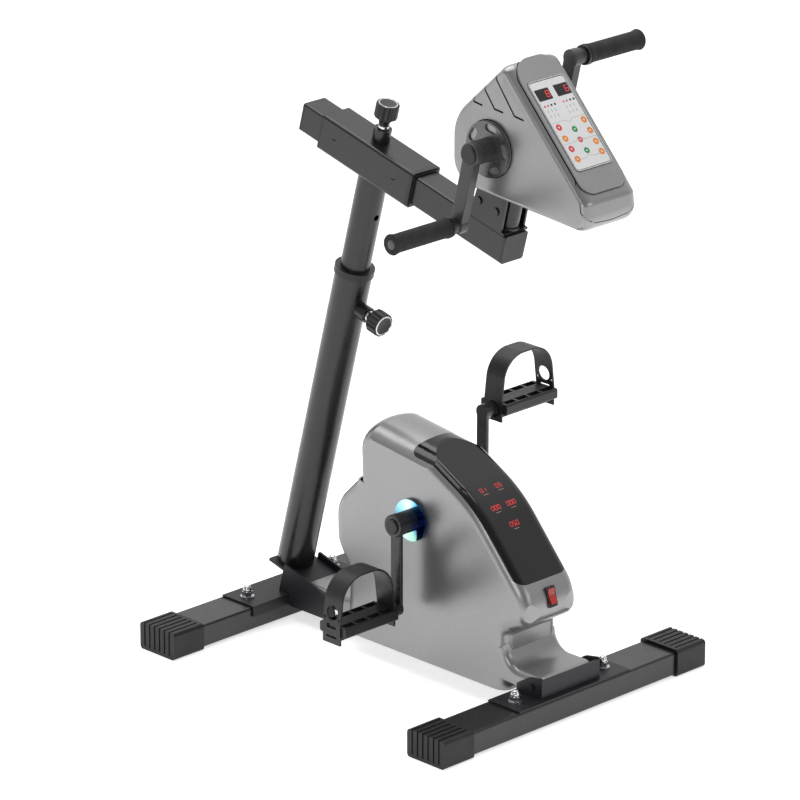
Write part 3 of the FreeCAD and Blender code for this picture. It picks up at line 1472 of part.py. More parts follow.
def print_places(shift):
    """Print the joint places and directions of the exported model, and its openings."""
    def show(name, y, z, x=0):
        print("place", name, round(x, 3), round(y + shift, 3), round(z, 3))

    def mast_place(y, z):
        a, b = turned(y, z, mast_lean)
        return a + mast_foot_behind, b + mast_foot_height

    show("leg_axle", *leg_axle)
    show("left_pedal", leg_axle[0], leg_axle_height - leg_crank_length)
    show("right_pedal", leg_axle[0], leg_axle_height + leg_crank_length)
    show("leg_motor", *leg_motor)
    show("hand_axle", *mast_place(*hand_axle_local))
    near = turned(0, -hand_crank_length, hand_crank_turn)
    far = turned(0, hand_crank_length, hand_crank_turn)
    show("left_grip", *mast_place(hand_axle_local[0] + near[0], hand_axle_local[1] + near[1]))
    show("right_grip", *mast_place(hand_axle_local[0] + far[0], hand_axle_local[1] + far[1]))
    show("hand_motor", *mast_place(hand_axle_local[0] - hand_motor_ahead,
                                   hand_axle_local[1] - hand_motor_drop))
    pivot = turned(rocker_pivot_depth, 0, -switch_tilt)
    show("rocker", switch_place()[0] + pivot[0], switch_place()[1] + pivot[1])
    print("direction mast_up 0", *[round(value, 6) for value in turned(0, 1, mast_lean)])
    print("direction mast_forward 0", *[round(value, 6) for value in turned(-1, 0, mast_lean)])
    for name, side, height in (("left", -1, leg_axle_height - leg_crank_length),
                               ("right", 1, leg_axle_height + leg_crank_length)):
        ends = sorted((side * (pedal_start + strap_lean), side * (pedal_start + pedal_length - strap_lean)))
        half = strap_width / 2 + overrun
        print("opening", name + "_foot", *ends, leg_axle[0] + shift - half, leg_axle[0] + shift + half,
              height + pedal_top + hub_gap, height + strap_top - strap_bend_radius)
        bend = strap_lean + strap_bend_radius / 2
        crown = sorted((side * (pedal_start + bend), side * (pedal_start + pedal_length - bend)))
        print("opening", name + "_instep", *crown, leg_axle[0] + shift - half, leg_axle[0] + shift + half,
              height + strap_top - strap_bend_radius - overrun, height + strap_top - strap_wall - overrun)
    y, z, _ = inlet_frame()
    floor = inlet_flange_wall - socket_depth + contact_length + hub_gap
    across = socket_half_width - socket_half_height / 2
    print("opening inlet_socket", -across, across, y + shift + floor, y + shift + inlet_flange_wall + overrun,
          z - socket_half_height * 2 / 3, z + socket_half_height * 2 / 3)
    print("cap centres", base_width / 2 - cap_length / 2, front_bar + shift, rear_bar + shift)


def export():
    """Write each node about the bottom centre of the whole object's box."""
    os.makedirs("parts", exist_ok=True)
    boxes = [solid.optimalBoundingBox(False, False) for solids in NODES.values() for solid in solids]
    low = min(box.YMin for box in boxes)
    high = max(box.YMax for box in boxes)
    shift = -(low + high) / 2
    for name, solids in NODES.items():
        for solid in solids:
            solid.translate(point(0, shift, 0))
        shape = solids[0] if len(solids) == 1 else Part.makeCompound(solids)
        shape.exportStep("parts/" + name + ".step")
        sound = shape.isValid() and len(shape.Solids) == len(solids)
        print("node", name, len(shape.Solids), round(shape.Volume / 1000, 2), "ok" if sound else "CHECK")
    print("box", round(low + shift, 2), round(high + shift, 2), round(max(box.ZMax for box in boxes), 2))
    print_places(shift)


build_base()
build_leg_unit()
build_leg_crank()
build_pedals()
build_mast()
build_upper_mast()
build_arm()
build_hand_housing()
build_hand_drive()
build_hand_crank()
export()
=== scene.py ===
"""Finishes and fine pieces of the leg and arm pedal trainer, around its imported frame.

Lengths are metres in the frame's own axes: +X across, -Y the user's side, +Z up. Sizes that are
measured on the object are given in millimetres and multiplied by MM, and so are the reaches and
the line step among the values below. The steps are counts of stretches round a curve.
"""
import json
import logging
import math
from dataclasses import dataclass
from enum import Enum
from typing import ClassVar

import bmesh
import bpy
from mathutils import Matrix, Vector
from mathutils.bvhtree import BVHTree


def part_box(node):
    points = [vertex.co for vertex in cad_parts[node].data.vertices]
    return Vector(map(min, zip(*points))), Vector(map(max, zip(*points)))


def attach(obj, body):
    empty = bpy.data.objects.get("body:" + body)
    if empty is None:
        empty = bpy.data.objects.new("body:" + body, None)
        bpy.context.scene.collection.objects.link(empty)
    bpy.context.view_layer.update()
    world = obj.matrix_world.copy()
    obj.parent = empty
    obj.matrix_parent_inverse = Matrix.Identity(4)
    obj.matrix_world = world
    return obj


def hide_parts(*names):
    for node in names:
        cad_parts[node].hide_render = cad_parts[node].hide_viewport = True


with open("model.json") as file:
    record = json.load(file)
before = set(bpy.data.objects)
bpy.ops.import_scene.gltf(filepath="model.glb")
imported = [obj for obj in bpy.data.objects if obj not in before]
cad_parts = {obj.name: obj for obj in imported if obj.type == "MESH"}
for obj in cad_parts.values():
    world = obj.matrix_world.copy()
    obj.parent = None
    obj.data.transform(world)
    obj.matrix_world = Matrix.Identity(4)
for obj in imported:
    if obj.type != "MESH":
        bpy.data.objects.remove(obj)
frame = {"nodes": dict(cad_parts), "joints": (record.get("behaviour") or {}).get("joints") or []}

logging.basicConfig(level=logging.INFO, format="%(message)s")
LOG = logging.getLogger("trainer")
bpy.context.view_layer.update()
MM = 0.001
ACROSS = Vector((1.0, 0.0, 0.0))
UP = Vector((0.0, 0.0, 1.0))
LID_SIDE = Vector((0.0, -0.73, 0.68))
SIDES = (("right", 1), ("left", -1))
FACING = 0.95
DRAPE_REACH = 60.0
WELD_REACH = 0.002
LINE_STEP = 2.0
CORNER_STEPS = 10
CAP_STEPS = 8
SMALL_STEPS = 20
LARGE_STEPS = 48
PATCH_DETAIL = 4.0
WEAR_DETAIL = 5.0
WEAR_SHARE = 3.7
GRAIN_DETAIL = 2.0
SEGMENTS = {"0": "abcdef", "1": "bc", "3": "abcdg", "5": "acdfg", "6": "acdefg", "8": "abcdefg"}
BARS = {"a": (0, 1, 1), "g": (0, 0, 1), "d": (0, -1, 1),
        "f": (-1, 0.5, 0), "b": (1, 0.5, 0), "e": (-1, -0.5, 0), "c": (1, -0.5, 0)}
JOINTS = {joint["name"]: joint for joint in frame["joints"]}
Point = tuple[float, float]
Triple = tuple[float, float, float]
Outline = list[Point]


def joint_place(name: str) -> Vector:
    """Place of a hinge in the frame.

    Args:
        name: The joint's name.

    Returns:
        The point that it turns about.
    """
    return Vector(JOINTS[name]["pos_m"])


def base_middle() -> Vector:
    """Middle of the base on the floor, between the two crossbars."""
    boxes = [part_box(name) for name in ("front_crossbar", "rear_crossbar")]
    return Vector((0.0, sum(low[1] + high[1] for low, high in boxes) / 4, 0.0))


def placed(origin: Vector, x_axis: Vector, y_axis: Vector) -> Matrix:
    """Build a place from its origin and two of its axes.

    Args:
        origin: The place's zero point.
        x_axis: Unit direction of its X.
        y_axis: Unit direction of its Y.

    Returns:
        The place's matrix, with Z square to both axes.
    """
    z_axis = x_axis.cross(y_axis)
    columns = Matrix((x_axis, y_axis, z_axis)).transposed().to_4x4()
    columns.translation = origin
    return columns


def head_side() -> Matrix:
    """Side view of the hand unit: origin on its axle, X away from the user, Y up the mast, Z to the right."""
    up = Vector(JOINTS["mast_height"]["axis"])
    return placed(joint_place("hand_crank_turn"), Vector((0.0, up.z, -up.y)), up)


def mast_side() -> Matrix:
    """Side view of the mast in the hand unit's directions.

    Returns:
        The place, with its origin where the mast's axis meets the sleeve.
    """
    low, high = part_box("reach_sleeve")
    place = head_side()
    place.translation = (Vector(low) + Vector(high)) / 2
    return place


def face_place(node: str, toward: Vector) -> Matrix:
    """Find the middle of a CAD node's flat face.

    Args:
        node: The CAD node.
        toward: Rough direction in which the face looks.

    Returns:
        A place on the face, with X across the trainer and Z out of the face.
    """
    mesh = frame["nodes"][node].data
    faces = [face for face in mesh.polygons if face.normal.dot(toward) > FACING]
    normal = sum((face.normal * face.area for face in faces), Vector()).normalized()
    along = normal.cross(ACROSS)
    points = [mesh.vertices[i].co for face in faces for i in face.vertices]
    rises = [point.dot(along) for point in points]
    sides = [point.x for point in points]
    height = max(point.dot(normal) for point in points)
    origin = (along * (min(rises) + max(rises)) + ACROSS * (min(sides) + max(sides))) / 2 + normal * height
    return placed(origin, ACROSS, along)


def arc(centre: Point, radius: float, start: float, end: float, steps: int) -> Outline:
    """Points along an arc.

    Args:
        centre: The arc's centre.
        radius: Its radius.
        start: First angle in degrees.
        end: Last angle in degrees.
        steps: Number of stretches.

    Returns:
        The points, first and last included.
    """
    angles = [math.radians(start + (end - start) * i / steps) for i in range(steps + 1)]
    return [(centre[0] + radius * math.cos(a), centre[1] + radius * math.sin(a)) for a in angles]


def disc(centre: Point, radius: float, steps: int = 32) -> Outline:
    """Outline of a circle."""
    return arc(centre, radius, 0.0, 360.0, steps)[:-1]


def rounded(centre: Point, half_width: float, half_height: float, top: float,
            low: float | None = None) -> Outline:
    """Outline of a rectangle with rounded corners.

    Args:
        centre: Its middle.
        half_width: Half of its width.
        half_height: Half of its height.
        top: Radius of the upper corners.
        low: Radius of the lower corners, where it differs.

    Returns:
        The points, counter-clockwise.
    """
    low = top if low is None else low
    outline = []
    for x, y, radius, start in ((1, 1, top, 0), (-1, 1, top, 90), (-1, -1, low, 180), (1, -1, low, 270)):
        corner = (centre[0] + x * (half_width - radius), centre[1] + y * (half_height - radius))
        outline += arc(corner, radius, start, start + 90, CORNER_STEPS)
    return outline


def stroke(points: Outline, width: float) -> Outline:
    """Outline of a line of even width with mitred bends and round ends.

    Args:
        points: The line's points.
        width: The line's width.

    Returns:
        The outline.
    """
    half = width / 2
    headings = [math.degrees(math.atan2(b[1] - a[1], b[0] - a[0])) for a, b in zip(points, points[1:])]
    left, right = [], []
    for i in range(1, len(points) - 1):
        turn = math.radians(headings[i] - headings[i - 1]) / 2
        side = math.radians((headings[i] + headings[i - 1]) / 2 + 90)
        reach = half / math.cos(turn)
        offset = (math.cos(side) * reach, math.sin(side) * reach)
        left.append((points[i][0] + offset[0], points[i][1] + offset[1]))
        right.append((points[i][0] - offset[0], points[i][1] - offset[1]))
    start = arc(points[0], half, headings[0] + 90, headings[0] + 270, CAP_STEPS)
    end = arc(points[-1], half, headings[-1] - 90, headings[-1] + 90, CAP_STEPS)
    return start + right + end + left[::-1]


def dense(points: Outline, step: float) -> Outline:
    """Add points along a line.

    Args:
        points: The line's points.
        step: Longest stretch between two points.

    Returns:
        The line with the added points.
    """
    line = [points[0]]
    for (x0, y0), (x1, y1) in zip(points, points[1:]):
        count = math.ceil(math.hypot(x1 - x0, y1 - y0) / step)
        line += [(x0 + (x1 - x0) * i / count, y0 + (y1 - y0) * i / count) for i in range(1, count + 1)]
    return line


def digits(text: str, centre: Point, height: float) -> list[Outline]:
    """Bars of a row of seven-segment digits, whose proportions are shares of their height.

    Args:
        text: The digits.
        centre: Middle of the row.
        height: Height of a digit.

    Returns:
        One outline for each lit bar.
    """
    width, bar, pitch = height * 0.52, height * 0.1, height * 0.74
    flat_gap, tall_gap, corner = bar * 0.4, bar * 0.15, bar * 0.3
    inner = height / 2 - bar
    bars = []
    for i, figure in enumerate(text):
        x = centre[0] + (i - (len(text) - 1) / 2) * pitch
        for key in SEGMENTS[figure]:
            across, up, level = BARS[key]
            middle = (x + across * width / 2, centre[1] + up * inner)
            half = (width / 2 - flat_gap, bar / 2) if level else (bar / 2, inner / 2 - tall_gap)
            bars.append(rounded(middle, *half, corner))
    return bars


def crease(mesh: bpy.types.Mesh, angle: float = 32.0) -> None:
    """Shade a mesh smooth except along its sharp edges.

    Args:
        mesh: The mesh.
        angle: Least angle of a sharp edge, in degrees.
    """
    edit = bmesh.new()
    edit.from_mesh(mesh)
    for face in edit.faces:
        face.smooth = True
    for edge in edit.edges:
        edge.smooth = len(edge.link_faces) == 2 and edge.calc_face_angle() < math.radians(angle)
    edit.to_mesh(mesh)
    edit.free()


class Graph:
    """A material's node tree, with short calls for the nodes that the finishes share."""

    def __init__(self, name: str) -> None:
        """Start an empty material with one surface shader.

        Args:
            name: The material's name.
        """
        self.material = bpy.data.materials.new(name)
        self.material.use_nodes = True
        self.tree = self.material.node_tree
        self.shader = self.tree.nodes["Principled BSDF"]
        self.place = self.tree.nodes.new("ShaderNodeTexCoord").outputs["Object"]

    def node(self, kind: str, links: dict | None = None, **values: object) -> bpy.types.Node:
        """Add a node.

        Args:
            kind: The node's type without its Shader Node prefix.
            links: Sockets to feed, by input name or number.
            values: Settings, or numbers for inputs whose name has spaces as underscores.

        Returns:
            The new node.
        """
        node = self.tree.nodes.new("ShaderNode" + kind)
        for key, value in values.items():
            if hasattr(node, key):
                setattr(node, key, value)
            else:
                node.inputs[key.replace("_", " ")].default_value = value
        for key, socket in (links or {}).items():
            self.tree.links.new(socket, node.inputs[key])
        return node

    def noise(self, scale: float, detail: float, stretch: Triple | None = None) -> bpy.types.NodeSocket:
        """Cloudy noise in the frame's own metres.

        Args:
            scale: Features per metre.
            detail: Octaves.
            stretch: Optional scale along each axis.

        Returns:
            The noise value.
        """
        place = self.place
        if stretch:
            place = self.node("Mapping", {"Vector": place}, Scale=stretch).outputs["Vector"]
        return self.node("TexNoise", {"Vector": place}, Scale=scale, Detail=detail).outputs["Fac"]

    def spread(self, socket: bpy.types.NodeSocket, low: float, high: float, start: float = 0.3,
               end: float = 0.7) -> bpy.types.NodeSocket:
        """Map a value from one range to another.

        Args:
            socket: The value.
            low: Result at the start.
            high: Result at the end.
            start: Value that gives low.
            end: Value that gives high.

        Returns:
            The mapped value.
        """
        node = self.node("MapRange", {"Value": socket}, From_Min=start, From_Max=end, To_Min=low, To_Max=high)
        return node.outputs["Result"]

    def blend(self, socket: bpy.types.NodeSocket, first: object, second: object) -> bpy.types.NodeSocket:
        """Mix two colours.

        Args:
            socket: The share of the second colour.
            first: A colour or a socket.
            second: A colour or a socket.

        Returns:
            The mixed colour.
        """
        node = self.node("Mix", {"Factor": socket}, data_type="RGBA")
        for key, value in ((6, first), (7, second)):
            if isinstance(value, bpy.types.NodeSocket):
                self.tree.links.new(value, node.inputs[key])
            else:
                node.inputs[key].default_value = (*value, 1.0)
        return node.outputs[2]

    def feed(self, socket: bpy.types.NodeSocket, name: str) -> None:
        """Link a socket to the surface shader's input of that name."""
        self.tree.links.new(socket, self.shader.inputs[name])

    def bump(self, height: bpy.types.NodeSocket, strength: float, distance: float) -> None:
        """Raise the surface by a height.

        Args:
            height: The height value.
            strength: How much of it shows.
            distance: Height of a full step, in metres.
        """
        node = self.node("Bump", {"Height": height}, Strength=strength, Distance=distance)
        self.feed(node.outputs["Normal"], "Normal")

    def set(self, **values: object) -> None:
        """Set plain numbers and colours on the surface shader."""
        for key, value in values.items():
            name = key.replace("_", " ")
            self.shader.inputs[name].default_value = (*value, 1.0) if isinstance(value, tuple) else value


@dataclass(frozen=True)
class Finish:
    """A surface with a mottled colour, an uneven gloss and a fine relief.

    Attributes:
        name: Name of the material.
        colour: Main linear colour.
        shade: Second linear colour that shows in patches.
        roughness: Lowest and highest roughness.
        grain: Relief features per metre.
        relief: Height of the relief in metres.
        strength: Share of the relief that shows.
        patch: Colour patches per metre.
        metallic: Metallic share.
        coat: Share of clear coat.
        coat_roughness: Roughness of the clear coat.
        specular: Specular level.
        stretch: Scale of the relief along each axis, for brushed or turned surfaces.
    """

    name: str
    colour: Triple
    shade: Triple
    roughness: Point = (0.4, 0.5)
    grain: float = 900.0
    relief: float = 0.0002
    strength: float = 0.2
    patch: float = 14.0
    metallic: float = 0.0
    coat: float = 0.0
    coat_roughness: float = 0.1
    specular: float = 0.5
    stretch: Triple | None = None

    def graph(self) -> Graph:
        """Build the node tree.

        Returns:
            The graph, ready for further nodes.
        """
        graph = Graph(self.name)
        patches = graph.noise(self.patch, PATCH_DETAIL)
        graph.feed(graph.blend(graph.spread(patches, 0.0, 1.0), self.colour, self.shade), "Base Color")
        wear = graph.noise(self.patch * WEAR_SHARE, WEAR_DETAIL, self.stretch)
        graph.feed(graph.spread(wear, *self.roughness), "Roughness")
        graph.bump(graph.noise(self.grain, GRAIN_DETAIL, self.stretch), self.strength, self.relief)
        graph.set(Metallic=self.metallic, Coat_Weight=self.coat, Coat_Roughness=self.coat_roughness,
                  Specular_IOR_Level=self.specular)
        return graph

    def material(self) -> bpy.types.Material:
        """The finished material, made once."""
        return bpy.data.materials.get(self.name) or self.graph().material


@dataclass(frozen=True)
class MetallicPaint(Finish):
    """Silver paint with fine flakes under a satin coat.

    Attributes:
        flake: Flakes per metre.
        sparkle: Linear colour of the flakes.
        flake_share: Share of that colour in the brightest flakes.
        flake_start: Share of the flakes that stay plain.
    """

    flake: float = 2600.0
    sparkle: Triple = (0.6, 0.6, 0.61)
    flake_share: float = 0.3
    flake_start: float = 0.7

    def graph(self) -> Graph:
        """Build the node tree, with flakes over the plain paint.

        Returns:
            The graph.
        """
        graph = super().graph()
        base = graph.shader.inputs["Base Color"].links[0].from_socket
        cells = graph.node("TexVoronoi", {"Vector": graph.place}, Scale=self.flake).outputs["Color"]
        light = graph.node("SeparateColor", {"Color": cells}).outputs["Red"]
        flakes = graph.spread(light, 0.0, self.flake_share, self.flake_start, 1.0)
        graph.feed(graph.blend(flakes, base, self.sparkle), "Base Color")
        return graph


@dataclass(frozen=True)
class MirrorDisc(Finish):
    """Polished disc whose iridescent tint swings through blue, green and gold round its centre; the light and
    dark sectors, palest near the top, are a painted reflection.

    Attributes:
        centre: Place of the disc's axle.
        tints_and_painted_reflection: Linear colours round the disc, each with its share of the turn. The hues
            are the plating's own, and their light and dark sectors are painted reflection.
    """

    centre: Triple = (0.0, 0.0, 0.0)
    tints_and_painted_reflection: tuple = ((0.0, (0.015, 0.03, 0.2)), (0.12, (0.04, 0.12, 0.5)), (0.22, (0.4, 0.85, 0.55)),
                    (0.32, (0.6, 0.85, 0.8)), (0.46, (0.05, 0.1, 0.2)), (0.62, (0.35, 0.75, 0.9)),
                    (0.73, (0.75, 0.95, 0.97)), (0.82, (0.1, 0.45, 0.85)), (0.9, (0.02, 0.06, 0.35)),
                    (1.0, (0.015, 0.03, 0.2)))

    def graph(self) -> Graph:
        """Build the node tree, with a tint that turns with the angle and paints the disc's reflection into
        its colour.

        Returns:
            The graph.
        """
        graph = super().graph()
        offset = graph.node("VectorMath", {0: graph.place}, operation="SUBTRACT")
        offset.inputs[1].default_value = self.centre
        parts = graph.node("SeparateXYZ", {"Vector": offset.outputs["Vector"]})
        turn = graph.node("Math", {0: parts.outputs["Z"], 1: parts.outputs["Y"]}, operation="ARCTAN2")
        share = graph.spread(turn.outputs["Value"], 0.0, 1.0, -math.pi, math.pi)
        ramp = graph.node("ValToRGB", {"Fac": share})
        for position, colour in self.tints_and_painted_reflection[1:-1]:
            ramp.color_ramp.elements.new(position).color = (*colour, 1.0)
        for index in (0, -1):
            ramp.color_ramp.elements[index].color = (*self.tints_and_painted_reflection[index][1], 1.0)
        graph.feed(ramp.outputs["Color"], "Base Color")
        return graph


@dataclass(frozen=True)
class Glow(Finish):
    """Lit digits, with a little unevenness in their light.

    Attributes:
        light: Strength of the light.
    """

    light: float = 0.9

    def graph(self) -> Graph:
        """Build the node tree, with the colour also given off as light.

        Returns:
            The graph.
        """
        graph = super().graph()
        base = graph.shader.inputs["Base Color"].links[0].from_socket
        graph.feed(base, "Emission Color")
        graph.set(Emission_Strength=self.light)
        return graph


class Finishes(Enum):
    """Every finish of the trainer."""

    SHELL = MetallicPaint("silver_shell_paint", (0.33, 0.33, 0.335), (0.31, 0.31, 0.315),
                          roughness=(0.3, 0.33), grain=1500.0, relief=0.00005, strength=0.15, patch=6.0,
                          metallic=0.7, coat=0.2, coat_roughness=0.25)
    LID = MetallicPaint("silver_lid_paint", (0.34, 0.34, 0.345), (0.31, 0.31, 0.315), roughness=(0.42, 0.5),
                        grain=1600.0, relief=0.0001, strength=0.3, patch=12.0, metallic=0.5)
    STEEL_BLACK = Finish("satin_black_powder_coat", (0.008, 0.008, 0.0085), (0.012, 0.012, 0.0125),
                         roughness=(0.26, 0.36), grain=1400.0, relief=0.00015, strength=0.25, patch=18.0,
                         coat=0.2, coat_roughness=0.15)
    GLOSS_BLACK = Finish("gloss_black_paint", (0.005, 0.005, 0.0055), (0.008, 0.008, 0.0085),
                         roughness=(0.12, 0.2), grain=500.0, strength=0.12, patch=20.0, coat=0.4,
                         coat_roughness=0.06)
    CRANK = Finish("satin_grey_cast_paint", (0.05, 0.05, 0.052), (0.06, 0.06, 0.062), roughness=(0.32, 0.42),
                   grain=1100.0, relief=0.0003, strength=0.3, patch=30.0, metallic=0.2, coat=0.1)
    CRANK_BLACK = Finish("satin_black_cast_paint", (0.01, 0.01, 0.0105), (0.015, 0.015, 0.0155),
                         roughness=(0.24, 0.34), grain=1100.0, relief=0.0003, strength=0.3, patch=30.0,
                         coat=0.2)
    PLASTIC = Finish("black_moulded_plastic", (0.009, 0.009, 0.0095), (0.014, 0.014, 0.0145),
                     roughness=(0.34, 0.46), grain=1800.0, strength=0.35, patch=30.0)
    RUBBER = Finish("ribbed_black_rubber", (0.007, 0.007, 0.0075), (0.011, 0.011, 0.0115),
                    roughness=(0.4, 0.52), grain=1600.0, relief=0.0003, strength=0.4, patch=26.0,
                    specular=0.4)
    STRAP = Finish("pliable_strap_rubber", (0.012, 0.012, 0.0125), (0.017, 0.017, 0.0175),
                   roughness=(0.36, 0.46), grain=1500.0, strength=0.35, patch=30.0)
    FOAM = Finish("closed_cell_foam", (0.022, 0.022, 0.023), (0.034, 0.034, 0.035), roughness=(0.7, 0.85),
                  grain=1300.0, relief=0.0006, strength=0.6, patch=60.0, specular=0.3)
    GLASS = Finish("dark_display_gloss", (0.004, 0.004, 0.0045), (0.007, 0.007, 0.008),
                   roughness=(0.08, 0.13), grain=240.0, relief=0.0001, strength=0.05, patch=12.0,
                   specular=0.6)
    OXIDE = Finish("black_oxide_steel", (0.05, 0.05, 0.052), (0.07, 0.07, 0.072), roughness=(0.3, 0.4),
                   relief=0.0001, patch=40.0, metallic=0.7)
    # Near-black for real seams, joints and slots, and also for the painted shade in the vent grooves and the
    # painted shadow round the key panel's rim.
    GAP_AND_SHADE = Finish("dark_gap_and_painted_shade", (0.002, 0.002, 0.002), (0.004, 0.004, 0.004), roughness=(0.6, 0.7),
                  relief=0.0001, patch=40.0, specular=0.1)
    RED = Finish("red_rocker_gloss", (0.55, 0.022, 0.015), (0.48, 0.018, 0.012), roughness=(0.16, 0.24),
                 grain=700.0, relief=0.0001, strength=0.1, patch=60.0, coat=0.5, coat_roughness=0.05)
    FILM = Finish("white_key_film", (0.8, 0.8, 0.8), (0.76, 0.76, 0.77), roughness=(0.32, 0.4), grain=1500.0,
                  relief=0.00005, patch=20.0)
    CHROME = Finish("bright_plating", (0.72, 0.72, 0.73), (0.66, 0.66, 0.68), roughness=(0.1, 0.2),
                    grain=600.0, relief=0.0001, strength=0.1, patch=50.0, metallic=1.0)
    STEEL = Finish("turned_steel", (0.5, 0.5, 0.51), (0.42, 0.42, 0.43), roughness=(0.22, 0.34),
                   grain=1200.0, relief=0.0001, patch=40.0, metallic=1.0, stretch=(6.0, 1.0, 1.0))
    SATIN_DISC = Finish("satin_silver_disc", (0.17, 0.17, 0.174), (0.14, 0.14, 0.144),
                        roughness=(0.24, 0.34), grain=1200.0, relief=0.0001, patch=40.0, metallic=0.8)
    BOARD = Finish("green_board_mask", (0.01, 0.09, 0.035), (0.012, 0.12, 0.05), roughness=(0.3, 0.42),
                   grain=700.0, strength=0.3, patch=90.0)
    MOTOR = Finish("plated_motor_can", (0.36, 0.36, 0.37), (0.3, 0.3, 0.31), roughness=(0.28, 0.42),
                   grain=800.0, patch=30.0, metallic=0.9)
    NYLON = Finish("filled_nylon", (0.07, 0.07, 0.075), (0.09, 0.09, 0.095), roughness=(0.45, 0.6),
                   grain=1100.0, relief=0.0003, strength=0.3, patch=40.0)
    BELT = Finish("drive_belt_rubber", (0.012, 0.012, 0.012), (0.02, 0.02, 0.02), roughness=(0.6, 0.75),
                  relief=0.0003, strength=0.3, patch=60.0)
    LED = Glow("red_display_light", (0.6, 0.03, 0.03), (0.52, 0.025, 0.027), roughness=(0.3, 0.4),
               relief=0.00005, strength=0.1, patch=90.0)
    CAPTION = Glow("tan_display_print", (0.3, 0.17, 0.09), (0.26, 0.14, 0.08), roughness=(0.3, 0.4),
                   relief=0.00005, strength=0.1, patch=90.0, light=0.3)
    KEY_RED = Finish("red_key_print", (0.72, 0.07, 0.09), (0.66, 0.05, 0.07), roughness=(0.32, 0.42),
                     grain=1500.0, relief=0.00005, patch=60.0)
    KEY_GREEN = Finish("green_key_print", (0.015, 0.3, 0.09), (0.012, 0.26, 0.08), roughness=(0.32, 0.42),
                       grain=1500.0, relief=0.00005, patch=60.0)
    KEY_ORANGE = Finish("orange_key_print", (0.85, 0.28, 0.03), (0.8, 0.24, 0.025), roughness=(0.32, 0.42),
                        grain=1500.0, relief=0.00005, patch=60.0)
    PRINT_GREY = Finish("grey_panel_print", (0.4, 0.4, 0.42), (0.34, 0.34, 0.36), roughness=(0.32, 0.42),
                        grain=1500.0, relief=0.00005, patch=60.0)
    RIM = Finish("pale_panel_rim", (0.62, 0.62, 0.63), (0.56, 0.56, 0.57), roughness=(0.24, 0.34),
                 grain=1500.0, relief=0.00005, patch=40.0, metallic=0.3)
    GRIP_PLUG = Finish("grey_grip_plug", (0.12, 0.12, 0.122), (0.15, 0.15, 0.152), roughness=(0.45, 0.55),
                       grain=1300.0, relief=0.0003, strength=0.35, patch=40.0)
    # Iridescent plating whose fixed light and dark sectors round the disc are painted reflection.
    MIRROR = MirrorDisc("tinted_mirror_painted_reflection", (0.4, 0.6, 0.8), (0.4, 0.6, 0.8), roughness=(0.05, 0.1),
                        relief=0.00005, metallic=1.0, centre=tuple(joint_place("leg_crank_turn")))


class Drape:
    """Lays a flat drawing in millimetres on the CAD nodes under it.

    Attributes:
        place: The place that the drawing lies in.
        out: Unit direction out of the drawing.
        trees: Search trees of the nodes' surfaces.
    """

    def __init__(self, place: Matrix, *nodes: str) -> None:
        """Gather the surfaces.

        Args:
            place: The place that the drawing lies in.
            nodes: CAD nodes that it is laid on. Without any it stays flat.
        """
        self.place = place
        self.out = place.to_3x3() @ UP
        meshes = [frame["nodes"][node].data for node in nodes]
        self.trees = [BVHTree.FromPolygons([vertex.co for vertex in mesh.vertices],
                                           [list(face.vertices) for face in mesh.polygons])
                      for mesh in meshes]

    def under(self, point: Point) -> Vector | None:
        """Find the highest surface under a point of the drawing.

        Args:
            point: The point.

        Returns:
            The surface's point, or nothing where no node lies under it.
        """
        start = self.place @ Vector((point[0] * MM, point[1] * MM, 0.0)) + self.out * DRAPE_REACH * MM
        hits = [tree.ray_cast(start, -self.out)[0] for tree in self.trees]
        return max((hit for hit in hits if hit is not None), key=self.out.dot, default=None)

    def lift(self, point: Point, height: float) -> Vector:
        """Place a point at a height over the surface, or over the drawing where there is none.

        Args:
            point: The point of the drawing.
            height: Its height in millimetres.

        Returns:
            The point in the frame.
        """
        under = self.under(point)
        if under is None:
            under = self.place @ Vector((point[0] * MM, point[1] * MM, 0.0))
        return under + self.out * height * MM

    def landed(self, line: Outline, room: float) -> Outline:
        """Leave out the points of a line that have no node under them.

        Args:
            line: The line's points.
            room: Distance that a point keeps from the node's edge, in millimetres.

        Returns:
            The points that have one.
        """
        around = ((0, 0), (room, 0), (-room, 0), (0, room), (0, -room))
        return [(u, v) for u, v in line if all(self.under((u + x, v + y)) is not None for x, y in around)]


